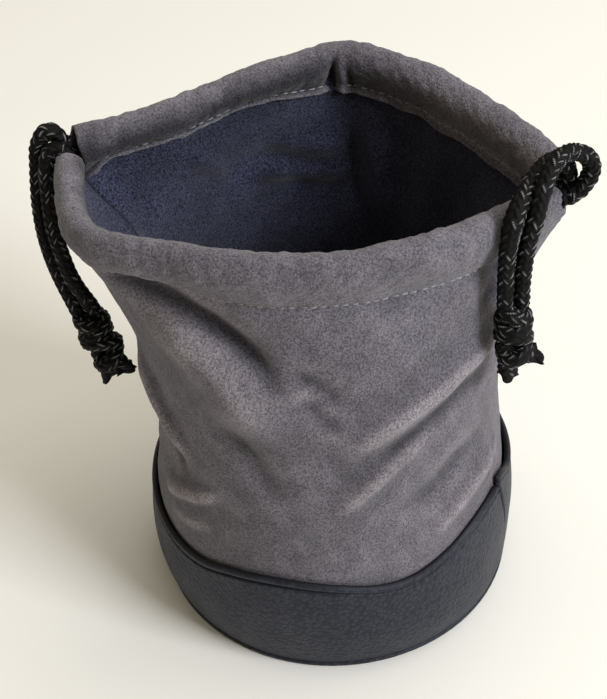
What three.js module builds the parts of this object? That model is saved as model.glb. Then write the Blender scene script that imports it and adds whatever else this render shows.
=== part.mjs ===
// Drawstring lens pouch: suede body with a lining, a stiff round base, a wrap-round lower band,
// two folded hems that work as cord channels, and two cords knotted together at each side.
// Millimetres, +Z up. The origin is the centre of the underside, the front faces -Y.
import * as THREE from "three";

// Base and band
const BASE_RADIUS = 60; // outside of the band at its top edge
const BAND_HEIGHT = 40;
const BAND_THICKNESS = 1.3;
const BAND_BULGE = 0.8; // how far the band swells at mid height
const BAND_TURN_IN = 1.7; // how far its lower edge is drawn in under the pouch
const BAND_TURN_POWER = 5; // a higher power keeps the turned edge closer to the floor
const BAND_WAVE = 3; // the soft top edge rises and falls by this much
const BAND_WAVE_COUNT = 5;
const BAND_WAVE_ANGLE = 4.5; // radians, where one crest of the wave lies
const COVER_THICKNESS = 1.6;
const COVER_STEP = 1.4; // the base cover's edge shows this far inside the band's top radius
const BOARD_THICKNESS = 2;
const FOAM_THICKNESS = 6;

// Cloth
const SUEDE_THICKNESS = 1.2;
const LINING_THICKNESS = 0.8;
const SUEDE_TUCK = 10; // suede hidden behind the band
const CLEARANCE = 0.3; // left between pieces that touch

// Mouth
const MOUTH_HALF_WIDTH = 72.5;
const MOUTH_SHIFT = -2; // the open mouth stands a little to the left of the base
const MOUTH_FRONT_DEPTH = 49.5; // from the side seams forward to the front hem
const MOUTH_REAR_DEPTH = 52;
const SIDE_SEAM_Y = 2; // where the side seams reach the hems
const RIM_HEIGHT = 156;
const RIM_RISE = 5; // the rim's ups and downs are shares of this
const HEM_DEPTH = 17; // from the hem's crest down to its stitch line
const SLIT_HALF_WIDTH = 5; // half the gap between the hem ends, at the crest
const SLIT_POWER = 12; // a higher power keeps the spread of the hem ends closer to the seams
const FLARE_POWER = 2.6; // the wall stays upright low down and flares near the mouth
const WAIST_SIDE = 6; // how far the wall draws in at mid height, at the sides
const WAIST_FRONT = 2; // and at the front and rear
const FOLD_FADE_LOW = 0.15; // shares of the wall's height in which the folds fade out above the band
const FOLD_FADE_HIGH = 0.06; // and below the hem

// Drawcords
const CORD_RADIUS = 2.1;
const CHANNEL_CLEARANCE = 0.55;
const CHANNEL_DEPTH = 10; // height of the hollow inside the folded hem
const LEAD_INSIDE = 12; // cord between the hem's mouth and the run inside it
const LEAD_OUTSIDE = 4; // cord between the hem's mouth and the hanging strand
const KNOT_RADIUS = 6.2;
const KNOT_WRAPS = 2;
const KNOT_GROOVE = 0.9; // depth of the grooves between the wraps
const KNOT_APPROACH = 3; // each strand runs straight into and out of its knot for this length

// Shares of the mouth's half width, its depth and the rim's rise, from the left seam to the right
const FRONT_RIM = [
  [-0.99, 0, -0.1],
  [-0.949, -0.283, -0.4],
  [-0.848, -0.636, -0.5],
  [-0.745, -0.788, -0.4],
  [-0.25, -0.99, 0.1],
  [0.07, -1, 0.2],
  [0.41, -0.82, 0],
  [0.759, -0.374, -0.6],
  [0.955, 0, -1],
];
const REAR_RIM = [
  [-0.99, 0, -0.1],
  [-0.745, 0.33, 0.1],
  [-0.37, 0.75, 0.5],
  [0.03, 1, 1.1],
  [0.36, 0.85, 1],
  [0.7, 0.52, 0.2],
  [0.855, 0.337, -0.2],
  [0.931, 0.2, -0.5],
  [0.955, 0, -1],
];

// Main folds of the cloth: points as shares of the half girth and of the wall's height, half width,
// and how far the fold stands out of the wall
const FRONT_FOLDS = [
  { line: [[0.25, 1], [0.345, 0.965], [0.405, 0.91], [0.445, 0.85], [0.51, 0.71]], width: 5, rise: -4.5 },
  { line: [[0.29, 0.92], [0.345, 0.86], [0.387, 0.783], [0.43, 0.65]], width: 10, rise: 3 },
  { line: [[0.12, 0.69], [0.165, 0.556], [0.233, 0.418], [0.3, 0.32]], width: 5, rise: 2 },
  { line: [[0.11, 0.51], [0.16, 0.4], [0.215, 0.34], [0.28, 0.25]], width: 4.5, rise: -1.8 },
  { line: [[0.95, 0.76], [0.877, 0.71], [0.792, 0.69], [0.703, 0.64], [0.555, 0.5]], width: 5, rise: 2.6 },
  { line: [[0.88, 0.61], [0.803, 0.6], [0.745, 0.57], [0.683, 0.53], [0.62, 0.465]], width: 4.5, rise: -2 },
  { line: [[0.755, 0.55], [0.7, 0.5], [0.642, 0.434], [0.547, 0.253]], width: 4, rise: 2 },
  { line: [[0.9, 0.343], [0.787, 0.332], [0.728, 0.284], [0.65, 0.22]], width: 5, rise: -1.7 },
  { line: [[0.985, 0.18], [0.92, 0.197], [0.843, 0.2], [0.782, 0.16]], width: 4.5, rise: 1.8 },
  { line: [[0.884, 1], [0.882, 0.9], [0.87, 0.8]], width: 4, rise: -2.2 },
];
const REAR_FOLDS = [
  { line: [[0.56, 1], [0.57, 0.86], [0.58, 0.5]], width: 6, rise: -2.4 },
  { line: [[0.51, 1], [0.515, 0.81], [0.525, 0.55]], width: 4.5, rise: 1.8 },
  { line: [[0.18, 0.94], [0.3, 0.86], [0.4, 0.89], [0.47, 0.94]], width: 5, rise: 1.8 },
  { line: [[0.36, 0.79], [0.43, 0.73], [0.5, 0.71]], width: 4.5, rise: 1.6 },
  { line: [[0.7, 0.99], [0.68, 0.76], [0.62, 0.4]], width: 7, rise: -2.4 },
  { line: [[0.16, 0.4], [0.26, 0.3], [0.38, 0.2]], width: 5, rise: 1.5 },
];

// Hanging strands, from just outside the hem's mouth to just above the knot
const LEFT_FRONT_ROUTE = [
  [-74.2, -0.3, 152.2],
  [-75.6, 0.9, 153.1],
  [-77.6, 1.1, 153.7],
  [-79.4, 0.4, 152.8],
  [-80.3, -1.6, 149.6],
  [-79.9, -4.6, 143.6],
  [-79, -8.4, 133.2],
  [-77.1, -10.6, 125.2],
  [-74.6, -12.2, 116.4],
];
const LEFT_REAR_ROUTE = [
  [-76.3, 5.6, 152.6],
  [-77.7, 5.6, 155.2],
  [-79.5, 5.6, 157],
  [-81.5, 5.4, 156.9],
  [-83.2, 4.8, 155],
  [-84.3, 3.8, 151.3],
  [-84.6, 1.2, 145],
  [-84.3, -2.8, 136],
  [-83, -6.2, 126.4],
  [-80.3, -9, 117],
];
const RIGHT_FRONT_ROUTE = [
  [68.8, -1, 147.3],
  [71.5, -0.4, 147.7],
  [74.1, 0.6, 149.9],
  [76.1, 1.2, 153.6],
  [76.3, 1, 157.7],
  [73.7, -0.4, 161.6],
  [69.9, -3.6, 164],
  [66.4, -8.4, 164.4],
  [64.2, -13.6, 162],
  [62.9, -17.7, 158.3],
  [61.7, -20.7, 152.9],
  [60, -22.3, 144.3],
];
const RIGHT_REAR_ROUTE = [
  [67.7, 4.4, 147.4],
  [69.4, 3.8, 149.2],
  [70.3, 3.6, 152.8],
  [68.6, 2.4, 156.8],
  [65.3, -1.4, 159.7],
  [62.2, -7, 160],
  [59.6, -13.4, 159.1],
  [57.5, -19.4, 157.4],
  [55.9, -23.4, 153.7],
  [55, -25, 145.4],
];
// Knots: middle of the upper and the lower face, and which way the front strand lies from the rear one
const LEFT_KNOT = { top: [-71.8, -12.2, 102.7], foot: [-67.9, -13.8, 92.8], spread: [0.96, 0, 0.28] };
const RIGHT_KNOT = { top: [57.4, -24.8, 126.2], foot: [57.9, -25.2, 115.6], spread: [0.85, 0.52, 0] };

// Tips of the cut ends below the knots, and a point on the way to each
const LEFT_FRONT_END = [
  [-62.4, -15.6, 86],
  [-60.6, -16, 84],
];
const LEFT_REAR_END = [
  [-67.9, -13.6, 83.6],
  [-67.4, -13.8, 78.6],
];
const RIGHT_FRONT_END = [
  [61.6, -24.2, 109.4],
  [65.4, -24, 109],
];
const RIGHT_REAR_END = [
  [56.4, -26.4, 107.4],
  [57, -26.6, 102.6],
];

// Mesh density
const PANEL_STEPS = 24; // along half the girth
const WALL_STEPS = 32; // the same in the folded cloth walls
const WALL_ROWS = 15;
const END_CROWDING = 0.7; // 0 spaces the hem's steps evenly, 1 crowds them to its ends
const BAND_ROWS = 6;
const HEM_ARC_STEPS = 6;
const CORD_SIDES = 8;
const STRAND_STEP = 7; // length of one step along a hanging strand
const LEAD_STEP = 4;
const RUN_STEP = 9;
const HEM_CORD_POINTS = 24; // points that carry the cord through one hem
const KNOT_STEPS = 14;

const suedeColour = 0x69646a;
const liningColour = 0x3c3c55;
const bandColour = 0x2b2c30;
const cordColour = 0x17181a;
const boardColour = 0x8a7a60;
const foamColour = 0x4a4a4a;

function finish(colour, roughness) {
  return new THREE.MeshStandardMaterial({ color: colour, roughness, metalness: 0 });
}

const suede = finish(suedeColour, 0.95);
const lining = finish(liningColour, 0.95);
const grainedBand = finish(bandColour, 0.55);
const braid = finish(cordColour, 0.8);
const board = finish(boardColour, 0.9);
const foam = finish(foamColour, 1);

const pouch = new THREE.Group();

function addPiece(name, geometry, material) {
  const mesh = new THREE.Mesh(geometry, material);
  mesh.name = name;
  pouch.add(mesh);
}

// The middle of the cloth wall, between the suede and the lining
const wallRadius = BASE_RADIUS - BAND_THICKNESS - SUEDE_THICKNESS - 1.5 * CLEARANCE;
const baseTop = COVER_THICKNESS + CLEARANCE;

// How far the band and the cloth behind it are drawn in, at a height above the floor
function turnedIn(z) {
  const share = THREE.MathUtils.clamp((z - baseTop) / BAND_HEIGHT, 0, 1);
  return BAND_TURN_IN * Math.pow(1 - share, BAND_TURN_POWER);
}

// Joins two equal grids of points, an outer and an inner one, into one closed sheet with thickness.
// With ring set, each row closes on itself and only the two end rows need an edge.
function sheetSolid(outer, inner, ring) {
  const rows = outer.length;
  const columns = outer[0].length;
  const position = [...outer.flat(), ...inner.flat()].flatMap((p) => p.toArray());
  const at = (layer, i, j) => (layer * rows + i) * columns + (j % columns);
  const index = [];
  const quad = (a, b, c, d) => index.push(a, b, c, a, c, d);
  const lastColumn = ring ? columns : columns - 1;
  for (let i = 0; i < rows - 1; i++) {
    for (let j = 0; j < lastColumn; j++) {
      quad(at(0, i, j), at(0, i, j + 1), at(0, i + 1, j + 1), at(0, i + 1, j));
      quad(at(1, i, j), at(1, i + 1, j), at(1, i + 1, j + 1), at(1, i, j + 1));
    }
  }
  for (let j = 0; j < lastColumn; j++) {
    quad(at(0, 0, j), at(1, 0, j), at(1, 0, j + 1), at(0, 0, j + 1));
    quad(at(0, rows - 1, j), at(0, rows - 1, j + 1), at(1, rows - 1, j + 1), at(1, rows - 1, j));
  }
  for (let i = 0; i < rows - 1 && !ring; i++) {
    quad(at(0, i, 0), at(0, i + 1, 0), at(1, i + 1, 0), at(1, i, 0));
    quad(at(0, i, columns - 1), at(1, i, columns - 1), at(1, i + 1, columns - 1), at(0, i + 1, columns - 1));
  }
  const geometry = new THREE.BufferGeometry();
  geometry.setAttribute("position", new THREE.Float32BufferAttribute(position, 3));
  geometry.setIndex(signedVolume(position, index) < 0 ? index.reverse() : index);
  return geometry;
}

function signedVolume(position, index) {
  const corner = (k) => new THREE.Vector3().fromArray(position, 3 * index[k]);
  let sum = 0;
  for (let k = 0; k < index.length; k += 3) {
    sum += corner(k).dot(corner(k + 1).cross(corner(k + 2)));
  }
  return sum / 6;
}

function grid(rows, columns, pointAt) {
  return Array.from({ length: rows + 1 }, (_, i) =>
    Array.from({ length: columns + 1 }, (_, j) => pointAt(i / rows, j / columns)),
  );
}

function disc(name, radius, bottom, thickness, material) {
  const profile = [
    new THREE.Vector2(0, bottom),
    new THREE.Vector2(radius, bottom),
    new THREE.Vector2(radius, bottom + thickness),
    new THREE.Vector2(0, bottom + thickness),
  ];
  const geometry = new THREE.LatheGeometry(profile, 2 * PANEL_STEPS).rotateX(Math.PI / 2);
  addPiece(name, geometry, material);
}

// The base, from the floor up: outer cover, stiff board, foam, lining
function base() {
  const innerRadius = wallRadius - turnedIn(baseTop) - LINING_THICKNESS - 1.5 * CLEARANCE;
  const boardBottom = baseTop;
  const foamBottom = boardBottom + BOARD_THICKNESS + CLEARANCE;
  const liningBottom = foamBottom + FOAM_THICKNESS + CLEARANCE;
  disc("base_cover", BASE_RADIUS - COVER_STEP, 0, COVER_THICKNESS, grainedBand);
  disc("base_board", innerRadius, boardBottom, BOARD_THICKNESS, board);
  disc("base_foam", innerRadius, foamBottom, FOAM_THICKNESS, foam);
  disc("base_lining", innerRadius, liningBottom, LINING_THICKNESS, lining);
}

// How far a point of the wall is moved out by the folds near it: each is a bell curve across its line
function foldHeight(folds, u, v) {
  const place = ([across, up]) =>
    new THREE.Vector3(across * Math.PI * wallRadius, up * (RIM_HEIGHT - HEM_DEPTH - BAND_HEIGHT), 0);
  const here = place([u, v]);
  let height = 0;
  for (const { line, width, rise } of folds) {
    let distance = Infinity;
    for (let k = 1; k < line.length; k++) {
      const span = new THREE.Line3(place(line[k - 1]), place(line[k]));
      const nearest = span.closestPointToPoint(here, true, new THREE.Vector3());
      distance = Math.min(distance, nearest.distanceTo(here));
    }
    height += rise * Math.exp(-Math.pow(distance / width, 2));
  }
  return height;
}

// One half of the pouch. sign is -1 for the front and 1 for the rear.
// u runs from the left side seam to the right one, always measured along the girth.
function makeHalf(sign, shares, folds) {
  const depth = sign < 0 ? MOUTH_FRONT_DEPTH : MOUTH_REAR_DEPTH;
  const rimPoints = shares.map(
    ([x, y, z]) =>
      new THREE.Vector3(
        MOUTH_SHIFT + x * MOUTH_HALF_WIDTH,
        SIDE_SEAM_Y + y * depth,
        RIM_HEIGHT + z * RIM_RISE,
      ),
  );
  const rim = new THREE.CatmullRomCurve3(rimPoints, false, "centripetal");
  rim.arcLengthDivisions = 400;
  const seamInset = CLEARANCE / 2 / rim.getLength();
  const along = (u) => seamInset + u * (1 - 2 * seamInset);
  const nearSeam = (u) => Math.pow(Math.abs(2 * u - 1), SLIT_POWER);
  const seamSide = (u) => new THREE.Vector3(u < 0.5 ? -1 : 1, 0, 0);
  const girthAngle = (u) => Math.PI - sign * Math.PI * along(u);
  const radial = (u) => new THREE.Vector3(Math.cos(girthAngle(u)), Math.sin(girthAngle(u)), 0);

  // Across the hem, out of the pouch
  const outward = (u) => {
    const t = rim.getTangentAt(along(u));
    return new THREE.Vector3(sign * -t.y, sign * t.x, 0).normalize();
  };

  // Crest of the hem, where the two hem ends stand apart at each side slit
  const crest = (u) => {
    const p = rim.getPointAt(along(u));
    p.y += sign * SLIT_HALF_WIDTH * nearSeam(u);
    return p;
  };

  const hemLine = (u) => {
    const p = rim.getPointAt(along(u));
    p.z -= HEM_DEPTH;
    p.y += sign * CLEARANCE * nearSeam(u);
    return p;
  };

  // Share of the wall's height, from the band's top edge to the hem line
  const wallShare = (u, z) => {
    const top = rim.getPointAt(along(u)).z - HEM_DEPTH;
    return THREE.MathUtils.clamp((z - BAND_HEIGHT) / (top - BAND_HEIGHT), 0, 1);
  };

  // Middle of the cloth wall at height z: upright behind the band, drawn in at the waist, flared above
  const wall = (u, z) => {
    const top = rim.getPointAt(along(u));
    const share = wallShare(u, z);
    const out = radial(u);
    const low = out.clone().multiplyScalar(wallRadius - turnedIn(z));
    const p = low.lerp(new THREE.Vector3(top.x, top.y, 0), Math.pow(share, FLARE_POWER));
    const sideways = out.x * out.x;
    const waist = THREE.MathUtils.lerp(WAIST_FRONT, WAIST_SIDE, sideways) * Math.sin(Math.PI * share);
    p.addScaledVector(out, -waist);
    p.z = z;
    return p;
  };

  // Level and out of the wall; at a side seam both halves use the seam's own side
  const wallNormal = (u, z) => {
    const step = 0.01;
    const across = wall(Math.min(u + step, 1), z).sub(wall(Math.max(u - step, 0), z));
    const normal = new THREE.Vector3(sign * -across.y, sign * across.x, 0).normalize();
    return normal.lerp(seamSide(u), nearSeam(u)).normalize();
  };

  // Folds fade out at the band, the hem and the side seams
  const folded = (u, z) => {
    const share = wallShare(u, z);
    const low = THREE.MathUtils.clamp(share / FOLD_FADE_LOW, 0, 1);
    const high = THREE.MathUtils.clamp((1 - share) / FOLD_FADE_HIGH, 0, 1);
    return foldHeight(folds, u, share) * low * high * (1 - nearSeam(u));
  };

  // Both layers share their rows above the tuck, so that they nest; a deeper layer has one row more
  const wallPanel = (bottom, innerOffset, outerOffset) => {
    const tuck = BAND_HEIGHT - SUEDE_TUCK;
    const heights = (u) => {
      const top = hemLine(u).z - CLEARANCE;
      const shared = Array.from({ length: WALL_ROWS + 1 }, (_, i) =>
        THREE.MathUtils.lerp(tuck, top, i / WALL_ROWS),
      );
      return bottom < tuck ? [bottom, ...shared] : shared;
    };
    const skin = (offset) =>
      heights(0).map((_, i) =>
        Array.from({ length: WALL_STEPS + 1 }, (_, j) => {
          const u = j / WALL_STEPS;
          const z = heights(u)[i];
          return wall(u, z).addScaledVector(wallNormal(u, z), offset + folded(u, z));
        }),
      );
    return sheetSolid(skin(outerOffset), skin(innerOffset), false);
  };

  // The band's rows are closer together near the floor, where it turns in
  const bandPanel = () => {
    const skin = (inset) =>
      grid(BAND_ROWS, PANEL_STEPS, (v, u) => {
        const wave = BAND_WAVE * Math.cos(BAND_WAVE_COUNT * (girthAngle(u) - BAND_WAVE_ANGLE));
        const share = v * v;
        const z = THREE.MathUtils.lerp(baseTop, BAND_HEIGHT + wave, share);
        const swell = BAND_BULGE * Math.sin(Math.PI * share) - turnedIn(z);
        const p = radial(u).multiplyScalar(BASE_RADIUS + swell - inset);
        p.z = z;
        return p;
      });
    return sheetSolid(skin(0), skin(BAND_THICKNESS), false);
  };

  // A point of the hem's cross-section, n out of the hem and d below its crest
  const hemPoint = (u, n, d) => {
    const share = d / HEM_DEPTH;
    const out = outward(u).lerp(seamSide(u), nearSeam(u) * share * share).normalize();
    return crest(u).lerp(hemLine(u), share).addScaledVector(out, n);
  };

  return { hemPoint, wallPanel, bandPanel };
}

const hollowHalfWidth = CORD_RADIUS + CHANNEL_CLEARANCE;
const hemHalfWidth = hollowHalfWidth + SUEDE_THICKNESS;
const sewnHalfWidth = (SUEDE_THICKNESS + CLEARANCE + LINING_THICKNESS) / 2;
const cordDepth = SUEDE_THICKNESS + CHANNEL_CLEARANCE + CORD_RADIUS;

// The folded hem in cross-section, as pairs of out and down: a round fold over the cord,
// sides that come together below it, and a flat sewn foot. The hollow follows inside.
function hemSections() {
  const fold = [];
  const hollow = [];
  for (let k = 0; k <= HEM_ARC_STEPS; k++) {
    const angle = (Math.PI * k) / HEM_ARC_STEPS;
    fold.push([hemHalfWidth * Math.cos(angle), hemHalfWidth * (1 - Math.sin(angle))]);
    hollow.push([
      hollowHalfWidth * Math.cos(angle),
      SUEDE_THICKNESS + hollowHalfWidth * (1 - Math.sin(angle)),
    ]);
  }
  const hollowFoot = SUEDE_THICKNESS + CHANNEL_DEPTH;
  const hollowFootHalfWidth = hollowHalfWidth / 3;
  const belly = (hemHalfWidth + hollowFoot) / 2;
  fold.push(
    [-hemHalfWidth, belly],
    [-sewnHalfWidth, HEM_DEPTH],
    [sewnHalfWidth, HEM_DEPTH],
    [hemHalfWidth, belly],
  );
  hollow.push(
    [-hollowHalfWidth, belly],
    [-hollowFootHalfWidth, hollowFoot],
    [hollowFootHalfWidth, hollowFoot],
    [hollowHalfWidth, belly],
  );
  return { fold, hollow };
}

// The folded hem along its half of the rim, with shorter steps towards its open ends
function casing(half) {
  const { fold, hollow } = hemSections();
  const stations = Array.from({ length: PANEL_STEPS + 1 }, (_, i) => {
    const even = i / PANEL_STEPS;
    return THREE.MathUtils.lerp(even, (1 - Math.cos(Math.PI * even)) / 2, END_CROWDING);
  });
  const skin = (section) => stations.map((u) => section.map(([n, d]) => half.hemPoint(u, n, d)));
  return sheetSolid(skin(fold), skin(hollow), true);
}

// The part of a longer path between two lengths along it
class Stretch extends THREE.Curve {
  constructor(path, from, to) {
    super();
    this.path = path;
    this.from = from / path.getLength();
    this.to = to / path.getLength();
  }
  getPoint(t, target = new THREE.Vector3()) {
    return this.path.getPointAt(THREE.MathUtils.lerp(this.from, this.to, t), target);
  }
}

// A round cord along a path
function cordTube(path, steps) {
  const section = new THREE.Shape();
  for (let k = 0; k < CORD_SIDES; k++) {
    const angle = (2 * Math.PI * k) / CORD_SIDES;
    const x = CORD_RADIUS * Math.cos(angle);
    const y = CORD_RADIUS * Math.sin(angle);
    if (k === 0) section.moveTo(x, y);
    else section.lineTo(x, y);
  }
  return new THREE.ExtrudeGeometry(section, { steps, extrudePath: path, bevelEnabled: false });
}

const vector = (list) => new THREE.Vector3(...list);

// A knot's axis from foot to top, and where a strand meets one of its faces.
// strand is 1 for the front strand and -1 for the rear one.
function knotFrame({ top, foot, spread }) {
  const axis = vector(top).sub(vector(foot)).normalize();
  const aside = vector(spread).projectOnPlane(axis).normalize();
  const meet = (face, outwards, strand) => {
    const seat = vector(face).addScaledVector(aside, strand * (CORD_RADIUS + CLEARANCE / 2));
    const near = seat.clone().addScaledVector(outwards, CLEARANCE);
    return [near, near.clone().addScaledVector(outwards, KNOT_APPROACH)];
  };
  return {
    axis,
    above: (strand) => meet(top, axis, strand),
    below: (strand) => meet(foot, axis.clone().negate(), strand),
  };
}

// One of the cut ends below a knot
function cordEnd(knotPlace, strand, points) {
  const seat = knotFrame(knotPlace).below(strand);
  const path = new THREE.CatmullRomCurve3([...seat, ...points.map(vector)], false, "centripetal");
  return cordTube(path, Math.round(path.getLength() / LEAD_STEP));
}

// Middle of the cord inside a hem
function cordInHem(half, u) {
  return half.hemPoint(u, 0, cordDepth);
}

// One drawcord: a single smooth route from the left knot through its hem to the right knot,
// cut into the stretches that move apart: hanging strands, leads in the hem's mouths, and the run inside
function drawcord(name, half, strand, leftRoute, rightRoute) {
  const left = [...knotFrame(LEFT_KNOT).above(strand), ...leftRoute.map(vector).reverse()];
  const right = [...rightRoute.map(vector), ...knotFrame(RIGHT_KNOT).above(strand).reverse()];
  const inHem = Array.from({ length: HEM_CORD_POINTS + 1 }, (_, i) => cordInHem(half, i / HEM_CORD_POINTS));
  const points = [...left, ...inHem, ...right];
  const path = new THREE.CatmullRomCurve3(points, false, "centripetal");
  const perSpan = 40;
  path.arcLengthDivisions = perSpan * (points.length - 1);
  const lengths = path.getLengths();
  const leftMouth = lengths[perSpan * left.length];
  const rightMouth = lengths[perSpan * (left.length + HEM_CORD_POINTS)];
  const end = lengths[lengths.length - 1];
  const gap = CLEARANCE / 2;
  const cuts = [
    ["left_strand_" + name, 0, leftMouth - LEAD_OUTSIDE - gap, STRAND_STEP],
    ["left_lead_" + name, leftMouth - LEAD_OUTSIDE + gap, leftMouth + LEAD_INSIDE - gap, LEAD_STEP],
    [name + "_cord_run", leftMouth + LEAD_INSIDE + gap, rightMouth - LEAD_INSIDE - gap, RUN_STEP],
    ["right_lead_" + name, rightMouth - LEAD_INSIDE + gap, rightMouth + LEAD_OUTSIDE - gap, LEAD_STEP],
    ["right_strand_" + name, rightMouth + LEAD_OUTSIDE + gap, end, STRAND_STEP],
  ];
  for (const [stretch, from, to, step] of cuts) {
    const steps = Math.round((to - from) / step);
    addPiece(stretch, cordTube(new Stretch(path, from, to), steps), braid);
  }
}

// An overhand knot tied with both strands: a barrel of wraps, drawn in between them,
// with both faces wide enough for two strands side by side
function knot({ top, foot, spread }) {
  const faceRadius = 2 * CORD_RADIUS + CLEARANCE;
  const height = vector(top).distanceTo(vector(foot));
  const profile = [new THREE.Vector2(0, 0)];
  for (let k = 0; k <= KNOT_STEPS; k++) {
    const share = k / KNOT_STEPS;
    const swell = Math.sin(Math.PI * share);
    const groove = KNOT_GROOVE * (1 - Math.abs(Math.sin(Math.PI * KNOT_WRAPS * share))) * swell;
    const radius = THREE.MathUtils.lerp(faceRadius, KNOT_RADIUS, Math.sqrt(swell));
    profile.push(new THREE.Vector2(radius - groove, height * share));
  }
  profile.push(new THREE.Vector2(0, height));
  const { axis } = knotFrame({ top, foot, spread });
  const turn = new THREE.Quaternion().setFromUnitVectors(new THREE.Vector3(0, 1, 0), axis);
  const geometry = new THREE.LatheGeometry(profile, 2 * CORD_SIDES);
  return geometry.applyQuaternion(turn).translate(...foot);
}

function build() {
  const front = makeHalf(-1, FRONT_RIM, FRONT_FOLDS);
  const rear = makeHalf(1, REAR_RIM, REAR_FOLDS);
  const suedeInner = CLEARANCE / 2;
  const suedeOuter = suedeInner + SUEDE_THICKNESS;
  const tuckBottom = BAND_HEIGHT - SUEDE_TUCK;
  base();
  for (const [name, half] of Object.entries({ front, rear })) {
    addPiece("band_" + name, half.bandPanel(), grainedBand);
    addPiece("suede_" + name, half.wallPanel(tuckBottom, suedeInner, suedeOuter), suede);
    addPiece("lining_" + name, half.wallPanel(baseTop, -suedeInner - LINING_THICKNESS, -suedeInner), lining);
    addPiece("casing_" + name, casing(half), suede);
  }
  drawcord("front", front, 1, LEFT_FRONT_ROUTE, RIGHT_FRONT_ROUTE);
  drawcord("rear", rear, -1, LEFT_REAR_ROUTE, RIGHT_REAR_ROUTE);
  addPiece("left_knot", knot(LEFT_KNOT), braid);
  addPiece("right_knot", knot(RIGHT_KNOT), braid);
  addPiece("left_end_front", cordEnd(LEFT_KNOT, 1, LEFT_FRONT_END), braid);
  addPiece("left_end_rear", cordEnd(LEFT_KNOT, -1, LEFT_REAR_END), braid);
  addPiece("right_end_front", cordEnd(RIGHT_KNOT, 1, RIGHT_FRONT_END), braid);
  addPiece("right_end_rear", cordEnd(RIGHT_KNOT, -1, RIGHT_REAR_END), braid);
}

build();

export default pouch;
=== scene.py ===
"""Drawstring lens pouch: brushed suede, dark lining, pebbled band, round base and braided drawcords."""

import bpy
import numpy as np
from bpy.props import FloatProperty, FloatVectorProperty, IntProperty, PointerProperty
from mathutils import Matrix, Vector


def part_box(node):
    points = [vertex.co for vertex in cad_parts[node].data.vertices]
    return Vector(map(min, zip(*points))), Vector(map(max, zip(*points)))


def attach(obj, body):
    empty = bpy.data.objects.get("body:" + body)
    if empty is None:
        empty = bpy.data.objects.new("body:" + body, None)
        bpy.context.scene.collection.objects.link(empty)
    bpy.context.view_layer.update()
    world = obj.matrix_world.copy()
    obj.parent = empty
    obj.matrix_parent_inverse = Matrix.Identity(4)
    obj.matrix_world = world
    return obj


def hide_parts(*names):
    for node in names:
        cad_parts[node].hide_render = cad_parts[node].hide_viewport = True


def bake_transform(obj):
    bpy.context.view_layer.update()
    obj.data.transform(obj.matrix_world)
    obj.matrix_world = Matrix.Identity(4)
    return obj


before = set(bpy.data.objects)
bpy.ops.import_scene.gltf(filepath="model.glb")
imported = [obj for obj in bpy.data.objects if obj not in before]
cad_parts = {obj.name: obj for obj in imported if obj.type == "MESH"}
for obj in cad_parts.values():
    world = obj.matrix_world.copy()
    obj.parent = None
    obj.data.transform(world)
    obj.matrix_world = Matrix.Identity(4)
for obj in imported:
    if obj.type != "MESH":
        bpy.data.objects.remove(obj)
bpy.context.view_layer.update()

bl_info = {
    "name": "Drawstring lens pouch",
    "version": (1, 0, 0),
    "blender": (4, 5, 0),
    "location": "3D View > Sidebar > Pouch",
    "description": "Dresses the packed pouch in suede, lining, pebbled band and braided cords",
    "category": "Add Mesh",
}

BASE_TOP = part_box("base_cover")[1][2]
GAP = 0.0003  # between pieces that touch
SPANS = 24  # points on each span of a smooth line
SEAM_EDGE = 0.001  # share of the half girth: no band there, one narrow column of lining
SEAM_POWER = 10  # how steeply what belongs to a side seam fades away from it
SIDE_POWER = 16  # and how steeply the cloth turns to the side there
INNER_FACE = -0.3  # a normal that points this far away from the side belongs to an inner face

# Crest of the hems, from the left side slit to the right one
FRONT_CREST = [
    (-0.0738, -0.0015, 0.154), (-0.0708, -0.012, 0.1535), (-0.0678, -0.021, 0.153),
    (-0.0635, -0.0295, 0.153), (-0.056, -0.037, 0.1535), (-0.042, -0.042, 0.155),
    (-0.02, -0.047, 0.1565), (0.0, -0.048, 0.157), (0.025, -0.04, 0.156), (0.041, -0.029, 0.155),
    (0.053, -0.0165, 0.153), (0.0615, -0.0065, 0.1512), (0.0665, -0.0008, 0.15),
]
REAR_CREST = [
    (-0.0735, 0.008, 0.157), (-0.056, 0.019, 0.1565), (-0.04, 0.033, 0.157), (-0.029, 0.041, 0.1585),
    (-0.012, 0.051, 0.16), (0.0, 0.055, 0.1615), (0.024, 0.046, 0.161), (0.037, 0.038, 0.159),
    (0.049, 0.029, 0.157), (0.06, 0.0195, 0.155), (0.0655, 0.0125, 0.154), (0.0685, 0.0078, 0.1525),
]
LEFT_SEAM = (-0.0735, 0.0025, 0.1440)
RIGHT_SEAM = (0.0675, 0.0035, 0.1345)
CREST_STEP = 0.01  # share of the half girth to each side, for the crest's direction

# Walls of the pouch
TUCK_HEIGHT = 0.030  # the suede goes down behind the band to here
BAND_TOP = 0.040  # mean height of the band
WALL_RADIUS = 0.0575  # middle of the suede behind the band
FLARE = 2.6  # power of the flare to the rim
FLARE_RIGHT = 1.4  # what the right side adds to it
WAIST = 0.002
WAIST_SIDES = 0.004  # what the sides add to it
WAIST_RIGHT = 0.003  # and how much less the right one does
SQUEEZE = 0.0018  # the right side stands in by this much above the base
SQUEEZE_RISE = 0.02  # height where it is full
SQUEEZE_WIDTH = 0.25  # sine of half the angle over which it fades

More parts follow.
